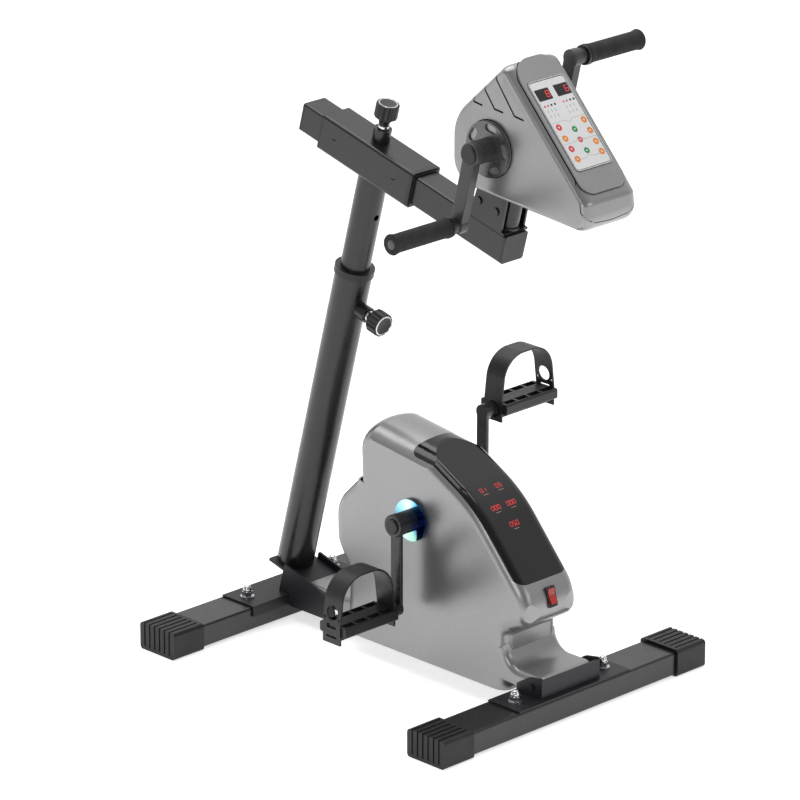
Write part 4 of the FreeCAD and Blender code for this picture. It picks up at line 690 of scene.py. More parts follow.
class Builder:
    """Helpers that every sub-assembly uses to make and dress its pieces.

    Attributes:
        dressed: The sub-assembly's own CAD nodes, by finish.
    """

    dressed: ClassVar[dict[Finishes, str]] = {}

    def dress(self) -> None:
        """Give the CAD nodes in the sub-assembly's table their finishes."""
        for finish, names in self.dressed.items():
            for name in names.split():
                mesh = frame["nodes"][name].data
                mesh.materials.clear()
                mesh.materials.append(finish.value.material())
                LOG.info("%s: %s", name, finish.value.name)

    def keep(self, piece: bpy.types.Object, finish: Finishes, body: str, slot: str, *replaced: str) -> None:
        """Finish a new piece, put it on its body and hide the CAD nodes that it stands for.

        Args:
            piece: The new object.
            finish: Its finish.
            body: The body that it rides on.
            slot: Its material slot in the record; not used.
            replaced: CAD nodes that it stands for.
        """
        crease(piece.data)
        piece.data.materials.clear()
        piece.data.materials.append(finish.value.material())
        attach(piece, body)
        if replaced:
            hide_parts(*replaced)
        LOG.info("%s: %s on %s", piece.name, finish.value.name, body)

    def piece(self, name: str, edit: bmesh.types.BMesh) -> bpy.types.Object:
        """Turn an edited mesh into an object of the scene.

        Args:
            name: The piece's name.
            edit: The edited mesh, which is freed.

        Returns:
            The new object.
        """
        mesh = bpy.data.meshes.new(name)
        edit.to_mesh(mesh)
        edit.free()
        piece = bpy.data.objects.new(name, mesh)
        bpy.context.scene.collection.objects.link(piece)
        return piece

    def slabs(self, name: str, outlines: list[Outline], low: float, high: float,
              drape: Drape) -> bpy.types.Object:
        """Make flat pieces of some outlines between two heights.

        Args:
            name: The piece's name.
            outlines: Outlines in millimetres.
            low: Lower height in millimetres.
            high: Upper height in millimetres.
            drape: What they are laid on.

        Returns:
            One object with every slab.
        """
        edit = bmesh.new()
        for outline in outlines:
            floor = [edit.verts.new(drape.lift(point, low)) for point in outline]
            roof = [edit.verts.new(drape.lift(point, high)) for point in outline]
            edit.faces.new(floor[::-1])
            edit.faces.new(roof)
            for i in range(len(outline)):
                j = (i + 1) % len(outline)
                edit.faces.new((floor[i], floor[j], roof[j], roof[i]))
        bmesh.ops.recalc_face_normals(edit, faces=edit.faces)
        return self.piece(name, edit)

    def ring(self, name: str, outer: Outline, inner: Outline, low: float, high: float,
             drape: Drape) -> bpy.types.Object:
        """Make a flat frame between two outlines with the same number of points.

        Args:
            name: The piece's name.
            outer: Outer outline in millimetres.
            inner: Inner outline in millimetres.
            low: Lower height in millimetres.
            high: Upper height in millimetres.
            drape: What it is laid on.

        Returns:
            The frame.
        """
        edit = bmesh.new()
        loops = [[edit.verts.new(drape.lift(point, height)) for point in line]
                 for line, height in ((outer, low), (outer, high), (inner, high), (inner, low))]
        for first, second in zip(loops, loops[1:] + loops[:1]):
            for i in range(len(outer)):
                j = (i + 1) % len(outer)
                edit.faces.new((first[i], first[j], second[j], second[i]))
        bmesh.ops.recalc_face_normals(edit, faces=edit.faces)
        return self.piece(name, edit)

    def turned(self, name: str, profile: Outline, origin: Vector, axis: Vector,
               steps: int = 72) -> bpy.types.Object:
        """Turn a profile round an axis.

        Args:
            name: The piece's name.
            profile: Radius and height pairs in millimetres. It is closed on itself where it doesn't start on
                the axis.
            origin: Point on the axis at height zero.
            axis: Unit direction of the axis.
            steps: Stretches round the axis.

        Returns:
            The turned piece.
        """
        edit = bmesh.new()
        angles = [2 * math.pi * i / steps for i in range(steps)]
        rings = []
        for radius, height in profile:
            spots = [(radius * MM * math.cos(a), radius * MM * math.sin(a), height * MM) for a in angles]
            rings.append([edit.verts.new(spot) for spot in (spots if radius > 0 else spots[:1])])
        back = rings[:1] if profile[0][0] > 0 else []
        for first, second in zip(rings, rings[1:] + back):
            for i in range(steps):
                j = (i + 1) % steps
                corners = [first[i % len(first)], first[j % len(first)], second[j % len(second)],
                           second[i % len(second)]]
                edit.faces.new(list(dict.fromkeys(corners)))
        edit.transform(Matrix.Translation(origin) @ axis.to_track_quat("Z", "Y").to_matrix().to_4x4())
        bmesh.ops.recalc_face_normals(edit, faces=edit.faces)
        return self.piece(name, edit)

    def carved(self, name: str, node: str, cutter: bpy.types.Object) -> bpy.types.Object:
        """Copy a CAD node and cut a piece out of the copy.

        Args:
            name: The copy's name.
            node: The CAD node.
            cutter: Object to cut out, which is then removed.

        Returns:
            The carved copy.
        """
        edit = bmesh.new()
        edit.from_mesh(frame["nodes"][node].data)
        bmesh.ops.remove_doubles(edit, verts=edit.verts, dist=WELD_REACH * MM)
        piece = self.piece(name, edit)
        modifier = piece.modifiers.new("carve", "BOOLEAN")
        modifier.object = cutter
        modifier.solver = "EXACT"
        bpy.context.view_layer.update()
        graph = bpy.context.evaluated_depsgraph_get()
        mesh = bpy.data.meshes.new_from_object(piece.evaluated_get(graph))
        piece.modifiers.clear()
        piece.data = mesh
        bpy.data.objects.remove(cutter)
        return piece


@dataclass
class FloorBase(Builder):
    """Crossbars, caps, brackets, beam and fasteners."""

    dressed: ClassVar[dict[Finishes, str]] = {
        Finishes.STEEL_BLACK: "front_crossbar rear_crossbar main_beam",
        Finishes.GLOSS_BLACK: "front_bracket rear_bracket",
        Finishes.RUBBER: "crossbar_end_caps",
        Finishes.CHROME: "base_acorn_nuts base_bolts_and_washers",
    }

    def build(self) -> None:
        """Dress the base."""
        self.dress()


@dataclass
class LegUnit(Builder):
    """Housing, display, switch and inner parts of the leg unit, with lengths in millimetres.

    Attributes:
        rows: For each row of the display, its place along and up from the base's middle, its slope in
            degrees, and its numbers with their places across.
        digit_height: Height of a digit.
        digit_stand: Lower and upper height of the lit bars over the lens.
        caption_stand: The same for the captions.
        caption_drop: How far a caption lies under its number, as a share of a digit's height.
        caption_half: Half width of a caption as that share, and its half height.
        caption_corner: Radius of a caption's corners.
        crest: Ends of the seam over the crest, from the base's middle.
        seam_width: Width of the seam.
        seam_stand: Its lower and upper height over the housing.
        seam_side: How far it lies left of the middle plane.
        seam_room: Distance that it keeps from the edge of the housing's half.
    """

    rows: tuple = (((-126.8, 275.4), 33.0, (("01", -14.5), ("03", 13.5))),
                   ((-150.7, 258.6), 38.0, (("000", -14.0), ("000", 14.0))),
                   ((-171.7, 239.6), 43.0, (("050", 0.0),)))
    digit_height: float = 7.6
    digit_stand: Point = (0.02, 0.12)
    caption_stand: Point = (0.02, 0.08)
    caption_drop: float = 0.95
    caption_half: Point = (0.6, 0.5)
    caption_corner: float = 0.3
    crest: Point = (-35.0, 72.0)
    seam_width: float = 0.9
    seam_stand: Point = (-0.4, 0.15)
    seam_side: float = 0.7
    seam_room: float = 0.6
    dressed: ClassVar[dict[Finishes, str]] = {
        Finishes.SHELL: "lower_housing_left lower_housing_right",
        Finishes.GLASS: "display_lens",
        Finishes.PLASTIC: "switch_body power_inlet",
        Finishes.RED: "power_rocker",
        Finishes.BOARD: "display_board control_board",
        Finishes.STEEL_BLACK: "axle_brackets",
        Finishes.STEEL: "lower_bearings",
        Finishes.MOTOR: "lower_motor",
        Finishes.BELT: "lower_belt",
        Finishes.NYLON: "lower_motor_pulley",
    }

    def build(self) -> None:
        """Dress the leg unit, light its display and mark the seam over its crest."""
        self.dress()
        self.display()
        self.crest_seam()

    def display(self) -> None:
        """Lit digits and small captions on the lens."""
        half_width, half_height = self.caption_half
        for number, ((y, z), slope, figures) in enumerate(self.rows, 1):
            tilt = math.radians(slope)
            place = placed(base_middle() + Vector((0.0, y, z)) * MM, ACROSS,
                           Vector((0.0, math.cos(tilt), math.sin(tilt))))
            lens = Drape(place, "display_lens")
            lit, captions = [], []
            for text, across in figures:
                lit += digits(text, (across, 0.0), self.digit_height)
                captions.append(rounded((across, -self.digit_height * self.caption_drop),
                                        self.digit_height * half_width, half_height, self.caption_corner))
            row = self.slabs(f"display_digits_{number}", lit, *self.digit_stand, lens)
            self.keep(row, Finishes.LED, "base", "lens_gloss")
            marks = self.slabs(f"display_captions_{number}", captions, *self.caption_stand, lens)
            self.keep(marks, Finishes.CAPTION, "base", "lens_gloss")

    def crest_seam(self) -> None:
        """Fine dark seam between the housing's halves, over the crest behind the lens."""
        shell = Drape(placed(base_middle(), ACROSS, Vector((0.0, 1.0, 0.0))), "lower_housing_left")
        line = dense([(-self.seam_side, along) for along in self.crest], LINE_STEP)
        outline = stroke(shell.landed(line, self.seam_room), self.seam_width)
        seam = self.slabs("crest_seam", [outline], *self.seam_stand, shell)
        self.keep(seam, Finishes.GAP_AND_SHADE, "base", "black_plastic")


@dataclass
class LegCrank(Builder):
    """Axle, discs, arms and pedals of the leg crank, with lengths in millimetres.

    Attributes:
        hole: Height above the spindle and radius of the strap's round hole.
        pin_holes: Place across, height and radius of the strap's small holes.
        buckle: Height, half width and half height of the buckle window.
        slit: The same for the slit under it.
        slot_corner: Radius of the window's and the slit's corners.
        cut: How far the cut reaches in and out from the strap's outer side.
    """

    hole: Point = (26.0, 10.2)
    pin_holes: Triple = (12.9, 18.5, 1.9)
    buckle: Triple = (8.0, 8.5, 3.0)
    slit: Triple = (-6.5, 9.5, 1.4)
    slot_corner: float = 1.0
    cut: Point = (14.0, 4.0)
    dressed: ClassVar[dict[Finishes, str]] = {
        Finishes.MIRROR: "lower_hub_discs",
        Finishes.STEEL: "lower_axle",
        Finishes.OXIDE: "pedal_spindles",
        Finishes.NYLON: "lower_pulley",
        Finishes.CRANK_BLACK: "lower_crank_arms",
        Finishes.PLASTIC: "lower_crank_caps pedal_left pedal_right",
    }

    def build(self) -> None:
        """Dress the leg crank and cut its straps."""
        self.dress()
        for side in ("left", "right"):
            self.strap(side)

    def strap(self, side: str) -> None:
        """Cut the holes, the buckle window and the slit through a strap.

        Args:
            side: Which pedal it belongs to.
        """
        node = "pedal_strap_" + side
        low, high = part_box(node)
        spindle = joint_place(side + "_pedal_spin")
        place = placed(Vector((0.0, spindle.y, spindle.z)), Vector((0.0, 1.0, 0.0)), UP)
        across, height, radius = self.pin_holes
        holes = [disc((0.0, self.hole[0]), self.hole[1], LARGE_STEPS)]
        holes += [disc((x, height), radius, SMALL_STEPS) for x in (-across, across)]
        holes += [rounded((0.0, z), half_width, half_height, self.slot_corner)
                  for z, half_width, half_height in (self.buckle, self.slit)]
        outer = (high[0] if side == "right" else low[0]) / MM
        edges = sorted((outer - math.copysign(self.cut[0], outer), outer + math.copysign(self.cut[1], outer)))
        cutter = self.slabs(node + "_holes", holes, *edges, Drape(place))
        self.keep(self.carved(side + "_strap", node, cutter), Finishes.STRAP, side + "_foot_pedal",
                  "strap_rubber", node)


@dataclass
class Mast(Builder):
    """Telescoping mast with its collar, sleeve and pull knobs, with lengths in millimetres.

    Attributes:
        clips: Places along the sleeve of its small clip slots.
        clip: Points of a slot from its place.
        clip_width: Width of a slot.
        clip_stand: How far a slot's mark reaches into and out of the sleeve.
        mast_head: Radius and length of the mast knob's head.
        arm_head: Radius and length of the arm knob's head.
        flare: Length of the arm knob's flared neck.
        flare_curve: Power of the flare's curve.
        neck_length: Length of the plain neck between a ring and a head.
        neck_radius: Radius of the plain neck.
        bevel: Bevel of a ring and of the neck.
        head_bevel: Bevel of a head's inner end.
        ring_radius: Radius of the knobs' bright rings.
        ring_span: Where a ring starts and ends over the boss.
        stem_radius: Radius of the bright stem beyond the ring.
        stem_step: How far the stem's first edge lies beyond the ring.
        stem_tuck: How far the stem reaches into the head.
        pin_radius: Radius of the pull pins.
        rim: Points of a head's outer rim, inward and down from its corner.
        cap_ring: Points of the bright ring on a cap, inward and down from that corner.
        head_steps: Stretches round a head.
        flutes: Number of finger flutes round a head.
        flute_depth: Depth of a flute.
        flute_rim: Share of the radius beyond which a flute is cut, and how steeply it deepens there.
        flute_run: How far before the shoulder a flute starts, and how long it takes to reach full depth.
        flute_curve: Power of a flute's section.
    """

    clips: Point = (-56.0, 58.0)
    clip: tuple = ((-3.4, 2.6), (0.0, 0.6), (3.4, 0.9))
    clip_width: float = 1.3
    clip_stand: Point = (0.6, 0.06)
    mast_head: Point = (16.5, 19.0)
    arm_head: Point = (15.5, 26.0)
    flare: float = 10.0
    flare_curve: float = 2.2
    neck_length: float = 6.0
    neck_radius: float = 7.2
    bevel: float = 0.6
    head_bevel: float = 1.5
    ring_radius: float = 8.0
    ring_span: Point = (0.3, 5.3)
    stem_radius: float = 5.9
    stem_step: float = 0.1
    stem_tuck: float = 2.0
    pin_radius: float = 4.0
    rim: tuple = ((0.0, 2.0), (0.4, 0.8), (1.4, 0.2), (2.0, 0.5))
    cap_ring: tuple = ((4.4, 0.6), (4.4, 0.15), (2.4, 0.05), (2.2, 0.6))
    head_steps: int = 120
    flutes: int = 12
    flute_depth: float = 1.7
    flute_rim: Point = (0.75, 6.0)
    flute_run: Point = (4.0, 5.0)
    flute_curve: float = 1.5
    dressed: ClassVar[dict[Finishes, str]] = {
        Finishes.STEEL_BLACK: "mast_lower_tube mast_upper_tube reach_sleeve arm_tube head_bracket head_post",
        Finishes.PLASTIC: "mast_collar sleeve_bushings arm_end_caps",
    }

    def build(self) -> None:
        """Dress the mast and make its knobs and clip slots."""
        self.dress()
        pull = Vector(JOINTS["mast_knob_pull"]["axis"])
        up = Vector(JOINTS["mast_height"]["axis"])
        self.knob("mast_knob", pull, "mast_lower_tube", "mast_pin", self.mast_head, 0.0)
        self.knob("arm_knob", up, "reach_sleeve", "reach_pin", self.arm_head, self.flare)
        self.clip_slots()

    def knob(self, node: str, axis: Vector, boss: str, body: str, head: Point, flare: float) -> None:
        """Pull knob: a bright pin with its ring, and a fluted head with a bright ring on its cap.

        Args:
            node: CAD node that it stands for.
            axis: Direction in which it is pulled.
            boss: CAD node whose face it rests against.
            body: Body that it rides on.
            head: Radius and length of the head.
            flare: Length of the head's flared neck.
        """
        side = axis.cross(ACROSS)
        mesh = frame["nodes"][node].data
        across = [vertex.co.dot(side) for vertex in mesh.vertices]
        along = [vertex.co.dot(axis) for vertex in mesh.vertices]
        face = max(vertex.co.dot(axis) for vertex in frame["nodes"][boss].data.vertices)
        origin = side * (min(across) + max(across)) / 2 + axis * face
        nose = (min(along) - face) / MM
        end = (max(along) - face) / MM
        radius, length = head
        start = end - length
        self.pin(node, nose, start + self.stem_tuck, origin, axis, body)
        shoulder = start + self.head_bevel
        profile = [(0.0, start), (radius - self.head_bevel, start), (radius, shoulder)]
        if flare:
            neck = start - self.neck_length + self.bevel
            first = neck + self.head_bevel
            shoulder = first + flare
            profile = [(0.0, neck), (self.neck_radius - self.bevel, neck), (self.neck_radius, first)]
            profile += [(self.neck_radius + (radius - self.neck_radius) * share ** self.flare_curve,
                         first + flare * share) for share in (0.2, 0.4, 0.6, 0.8, 1.0)]
        profile += [(radius - inward, end - down) for inward, down in self.rim]
        profile.append((0.0, end - self.rim[-1][1]))
        piece = self.turned(node + "_head", profile, origin, axis, self.head_steps)
        self.flute(piece, origin, axis, radius, shoulder)
        self.keep(piece, Finishes.PLASTIC, body, "black_plastic", node)
        ring = [(radius - inward, end - down) for inward, down in self.cap_ring]
        self.keep(self.turned(node + "_cap_ring", ring, origin, axis), Finishes.CHROME, body, "bright_zinc")

    def pin(self, node: str, nose: float, end: float, origin: Vector, axis: Vector, body: str) -> None:
        """Bright pull pin with its ring.

        Args:
            node: CAD node that it stands for.
            nose: Where the pin starts.
            end: Where its stem ends.
            origin: Point on its axis in the boss's face.
            axis: Direction in which it is pulled.
            body: Body that it rides on.
        """
        low, high = self.ring_span
        inner = self.ring_radius - self.bevel
        profile = [(0.0, nose), (self.pin_radius, nose), (self.pin_radius, low), (inner, low),
                   (self.ring_radius, low + self.bevel), (self.ring_radius, high - self.bevel), (inner, high),
                   (self.stem_radius, high + self.stem_step), (self.stem_radius, end), (0.0, end)]
        pin = self.turned(node + "_pin", profile, origin, axis)
        self.keep(pin, Finishes.CHROME, body, "bright_zinc", node)

    def flute(self, piece: bpy.types.Object, origin: Vector, axis: Vector, radius: float,
              start: float) -> None:
        """Press finger flutes into a knob's rim.

        Args:
            piece: The knob's head.
            origin: Point on its axis.
            axis: Direction of its axis.
            radius: Radius of its rim.
            start: Where its shoulder ends along the axis.
        """
        side = axis.cross(ACROSS)
        before, run = self.flute_run
        inner, steepness = self.flute_rim
        for vertex in piece.data.vertices:
            offset = vertex.co - origin
            reach = offset - axis * offset.dot(axis)
            share = min(max((reach.length / MM / radius - inner) * steepness, 0.0), 1.0)
            share *= min(max((offset.dot(axis) / MM - start + before) / run, 0.0), 1.0)
            turn = math.atan2(reach.dot(side), reach.dot(ACROSS))
            dent = max(0.0, math.cos(turn * self.flutes)) ** self.flute_curve * self.flute_depth * share
            if reach.length > 0:
                vertex.co -= reach.normalized() * dent * MM

    def clip_slots(self) -> None:
        """Small bent clip slots on the sleeve's two sides."""
        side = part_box("reach_sleeve")[1][0] / MM
        inward, outward = self.clip_stand
        outlines = [stroke([(along + u, v) for u, v in self.clip], self.clip_width) for along in self.clips]
        for name, sign in SIDES:
            edges = sorted((sign * (side - inward), sign * (side + outward)))
            slots = self.slabs(name + "_sleeve_clip_slots", outlines, *edges, Drape(mast_side()))
            self.keep(slots, Finishes.GAP_AND_SHADE, "upper_mast", "black_plastic")


@dataclass
class HandUnit(Builder):
    """Housing, lid, keys and inner parts of the hand unit, with lengths in millimetres.

    Attributes:
        vents: Lines of the side grooves from the axle, along and up.
        vent_width: Width of a groove.
        vent_depth: Depth of a groove.
        vent_painted_shade: Lower height of the painted shade at a groove's bottom, and its upper height as a
            share of the depth.
        vent_room: Distance that a groove keeps from the end of the flat side.
        lid_half: Half width and half length of the lid.
        lid_corners: Radii of its upper and lower corners.
        lid_joint: How far the dark joint's inner and outer edges lie outside the lid.
        joint_stand: Lower and upper height of the joints over the housing.
        nose_seam: Half of the line round the nose's front, seen from its corner.
        seam_width: Width of that line.
        seam_stand: Its lower and upper height over the cover.
        hub_joint: Inner and outer radius of the dark joint round a hub disc.
        hub_stand: Its lower and upper height over the housing.
        panel_half: Half width and half length of the key panel.
        panel_corner: Radius of its corners.
        rims: Names, inner and outer edges, upper heights, finishes and slots of the frames round the panel.
            The outermost dark frame is a painted shadow at the foot of the raised rim.
        rim_base: Lower height of those frames.
        windows: Middles of the two display windows.
        window_half: Half width and half height of a window.
        window_corner: Radius of its corners.
        figures: Lit digits with their places.
        figure_height: Height of a lit digit.
        red_lamps: Places along of the lit lamps, then their height and radius.
        dark_lamps: The same for the unlit lamps.
        red_keys: Places of the red keys.
        green_keys: Places of the green keys.
        orange_keys: Places of the orange keys.
        stop_key: Place of the small stop key.
        key_radii: Radii of the red and orange keys, the green keys, the stop key and the marks on them.
        lines: Heights of the panel's lines, and how far each one bends at the middle.
        line_run: A line's points from its height. The middle one lies at the line's own bend.
        line_width: Width of a line.
        captions: Places across, and heights, of the small captions.
        caption_half: Half width and half height of a caption.
        caption_corner: Radius of its corners.
        inks: Thickness and finish of each print on the panel.
    """

    vents: tuple = (((50.4, 57.5), (42.4, 46.7), (28.3, 48.3)), ((36.3, 76.3), (6.5, 53.7), (-7.4, 55.8)),
                    ((22.3, 99.2), (-27.8, 60.7), (-42.8, 62.6)))
    vent_width: float = 2.6
    vent_depth: float = 2.2
    vent_painted_shade: Point = (-2.3, 0.6)
    vent_room: float = 2.0
    lid_half: Point = (39.0, 99.0)
    lid_corners: Point = (30.0, 18.0)
    lid_joint: Point = (0.1, 1.2)
    joint_stand: Point = (-0.4, 0.5)
    nose_seam: tuple = ((47.2, 39.5), (45.9, 33.1), (43.5, 22.3), (41.1, 10.9), (39.7, 0.8), (32.2, -6.5),
                        (20.7, -13.4), (7.8, -15.3), (0.5, -16.0))
    seam_width: float = 1.0
    seam_stand: Point = (-0.6, 0.2)
    hub_joint: Point = (37.2, 38.3)
    hub_stand: Point = (-0.5, 0.5)
    panel_half: Point = (30.5, 63.5)
    panel_corner: float = 4.0
    rims: tuple = (("panel_groove", 0.1, 0.8, -0.3, Finishes.GAP_AND_SHADE, "black_plastic"),
                   ("panel_rim", 0.8, 2.4, 0.5, Finishes.RIM, "silver_lid"),
                   # Dark frame just outside the raised rim: painted shadow at its foot, not a groove.
                   ("panel_rim_painted_shadow", 2.4, 3.0, -0.5, Finishes.GAP_AND_SHADE, "black_plastic"))
    rim_base: float = -0.8
    windows: tuple = ((-16.4, 45.0), (17.4, 45.3))
    window_half: Point = (12.2, 8.2)
    window_corner: float = 0.6
    figures: tuple = (("8", (-9.3, 44.8)), ("6", (24.6, 45.3)))
    figure_height: float = 10.5
    red_lamps: tuple = ((-25.1, -19.6, 8.3, 14.0), 28.9, 1.5)
    dark_lamps: tuple = ((-13.3, -7.1, 20.4, 26.6), 29.0, 1.6)
    red_keys: tuple = ((-21.8, -2.5), (-21.3, -34.3))
    green_keys: tuple = ((1.3, -10.2), (1.4, -41.6))
    orange_keys: tuple = ((24.0, -1.5), (24.2, -17.4), (-21.8, -18.9), (23.6, -33.4), (23.6, -48.4),
                          (-20.7, -49.4))
    stop_key: Point = (0.8, -25.7)
    key_radii: tuple = (4.6, 4.3, 3.9, 1.3)
    lines: tuple = ((4.5, -3.5), (-26.8, 6.5), (-51.2, 4.0))
    line_run: tuple = ((-29.0, 0.0), (-7.0, 0.3), (0.0, 0.0), (7.0, 0.6), (29.0, 0.8))
    line_width: float = 0.45
    captions: tuple = ((-24.0, -17.5, -11.0, 9.0, 15.5, 22.0), (21.5, 14.0))
    caption_half: Point = (0.5, 2.4)
    caption_corner: float = 0.3
    inks: ClassVar[dict[str, tuple[float, Finishes]]] = {
        "windows": (0.1, Finishes.GLASS),
        "digits": (0.16, Finishes.LED),
        "red_lamps": (0.1, Finishes.KEY_RED),
        "dark_lamps": (0.1, Finishes.GLASS),
        "red_keys": (0.12, Finishes.KEY_RED),
        "green_keys": (0.12, Finishes.KEY_GREEN),
        "orange_keys": (0.12, Finishes.KEY_ORANGE),
        "key_marks": (0.2, Finishes.FILM),
        "lines": (0.08, Finishes.PRINT_GREY),
        "captions": (0.06, Finishes.PRINT_GREY),
    }
    dressed: ClassVar[dict[Finishes, str]] = {
        Finishes.LID: "upper_lid",
        Finishes.FILM: "key_panel",
        Finishes.BOARD: "upper_board",
        Finishes.STEEL: "upper_bearings",
        Finishes.MOTOR: "upper_motor",
        Finishes.BELT: "upper_belt",
        Finishes.NYLON: "upper_motor_pulley",
        Finishes.SHELL: "upper_front_cover",
    }

    def build(self) -> None:
        """Dress the hand unit, cut its vents, mark its joints and print its panel."""
        self.dress()
        self.vent_grooves()
        self.joints()
        self.panel()

    def vent_grooves(self) -> None:
        """Cut the vents into the housing's sides and paint shade into them with a near-black sheet."""
        view = head_side()
        low, share = self.vent_painted_shade
        for name, sign in SIDES:
            node = "upper_housing_" + name
            shell = Drape(placed(view.translation, view.col[0].to_3d() * sign, view.col[1].to_3d()), node)
            lines = [dense([(u * sign, v) for u, v in line], LINE_STEP) for line in self.vents]
            outlines = [stroke(shell.landed(line, self.vent_room), self.vent_width) for line in lines]
            cutter = self.slabs("vent_cutter", outlines, -self.vent_depth, self.vent_depth, shell)
            housing = self.carved(name + "_hand_housing", node, cutter)
            self.keep(housing, Finishes.SHELL, "arm", "silver_shell", node)
            # Near-black sheet low in each groove: painted shade, not a lining of the silver housing.
            painted_shade = self.slabs(name + "_vent_painted_shade", outlines, low, -self.vent_depth * share, shell)
            self.keep(painted_shade, Finishes.GAP_AND_SHADE, "arm", "black_plastic")

    def joints(self) -> None:
        """Dark joints round the lid, the nose's front and the hub discs."""
        width, length = self.lid_half
        top, low = self.lid_corners
        inner, outer = [rounded((0.0, 0.0), width + gap, length + gap, top + gap, low + gap)
                        for gap in self.lid_joint]
        lid = Drape(face_place("upper_lid", LID_SIDE), "upper_front_cover", "upper_housing_left",
                    "upper_housing_right")
        joint = self.ring("lid_joint", outer, inner, *self.joint_stand, lid)
        self.keep(joint, Finishes.GAP_AND_SHADE, "arm", "black_plastic")
        front = face_place("upper_front_cover", Vector((0.0, -1.0, 0.0))).translation
        for name, sign in SIDES:
            corner = Drape(placed(front, Vector((1.0, sign, 0.0)).normalized(), UP), "upper_front_cover")
            line = dense([(x * sign, y) for x, y in self.nose_seam], LINE_STEP)
            seam = self.slabs(name + "_nose_seam", [stroke(line, self.seam_width)], *self.seam_stand, corner)
            self.keep(seam, Finishes.GAP_AND_SHADE, "arm", "black_plastic")
        view = head_side()
        inner, outer = [disc((0.0, 0.0), radius) for radius in self.hub_joint]
        for name, sign in SIDES:
            side = Drape(placed(view.translation, view.col[0].to_3d() * sign, view.col[1].to_3d()),
                         "upper_housing_" + name)
            ring = self.ring(name + "_hub_joint", outer, inner, *self.hub_stand, side)
            self.keep(ring, Finishes.GAP_AND_SHADE, "arm", "black_plastic")

    def panel(self) -> None:
        """Windows, digits, lamps, keys and lines of the key panel, and the rim round it."""
        plain, green, stop, mark = self.key_radii
        windows = [rounded(middle, *self.window_half, self.window_corner) for middle in self.windows]
        figures = [bar for text, middle in self.figures for bar in digits(text, middle, self.figure_height)]
        lit, unlit = [[disc((x, height), radius, SMALL_STEPS) for x in places]
                      for places, height, radius in (self.red_lamps, self.dark_lamps)]
        red = [disc(spot, plain) for spot in self.red_keys] + [disc(self.stop_key, stop)]
        keys = (*self.red_keys, *self.green_keys, *self.orange_keys, self.stop_key)
        lines = [stroke([(x, y + (rise if x else bend)) for x, rise in self.line_run], self.line_width)
                 for y, bend in self.lines]
        captions = [rounded((x, y), *self.caption_half, self.caption_corner)
                    for x in self.captions[0] for y in self.captions[1]]
        outlines = {"windows": windows, "digits": figures, "red_lamps": lit, "dark_lamps": unlit,
                    "red_keys": red, "green_keys": [disc(spot, green) for spot in self.green_keys],
                    "orange_keys": [disc(spot, plain) for spot in self.orange_keys],
                    "key_marks": [disc(spot, mark, SMALL_STEPS) for spot in keys],
                    "lines": lines, "captions": captions}
        place = Drape(face_place("key_panel", LID_SIDE))
        for name, (height, finish) in self.inks.items():
            ink = self.slabs("panel_" + name, outlines[name], 0.0, height, place)
            self.keep(ink, finish, "arm", "key_film")
        width, length = self.panel_half
        for name, inner, outer, height, finish, slot in self.rims:
            near, far = [rounded((0.0, 0.0), width + gap, length + gap, self.panel_corner + gap)
                         for gap in (inner, outer)]
            self.keep(self.ring(name, far, near, self.rim_base, height, place), finish, "arm", slot)


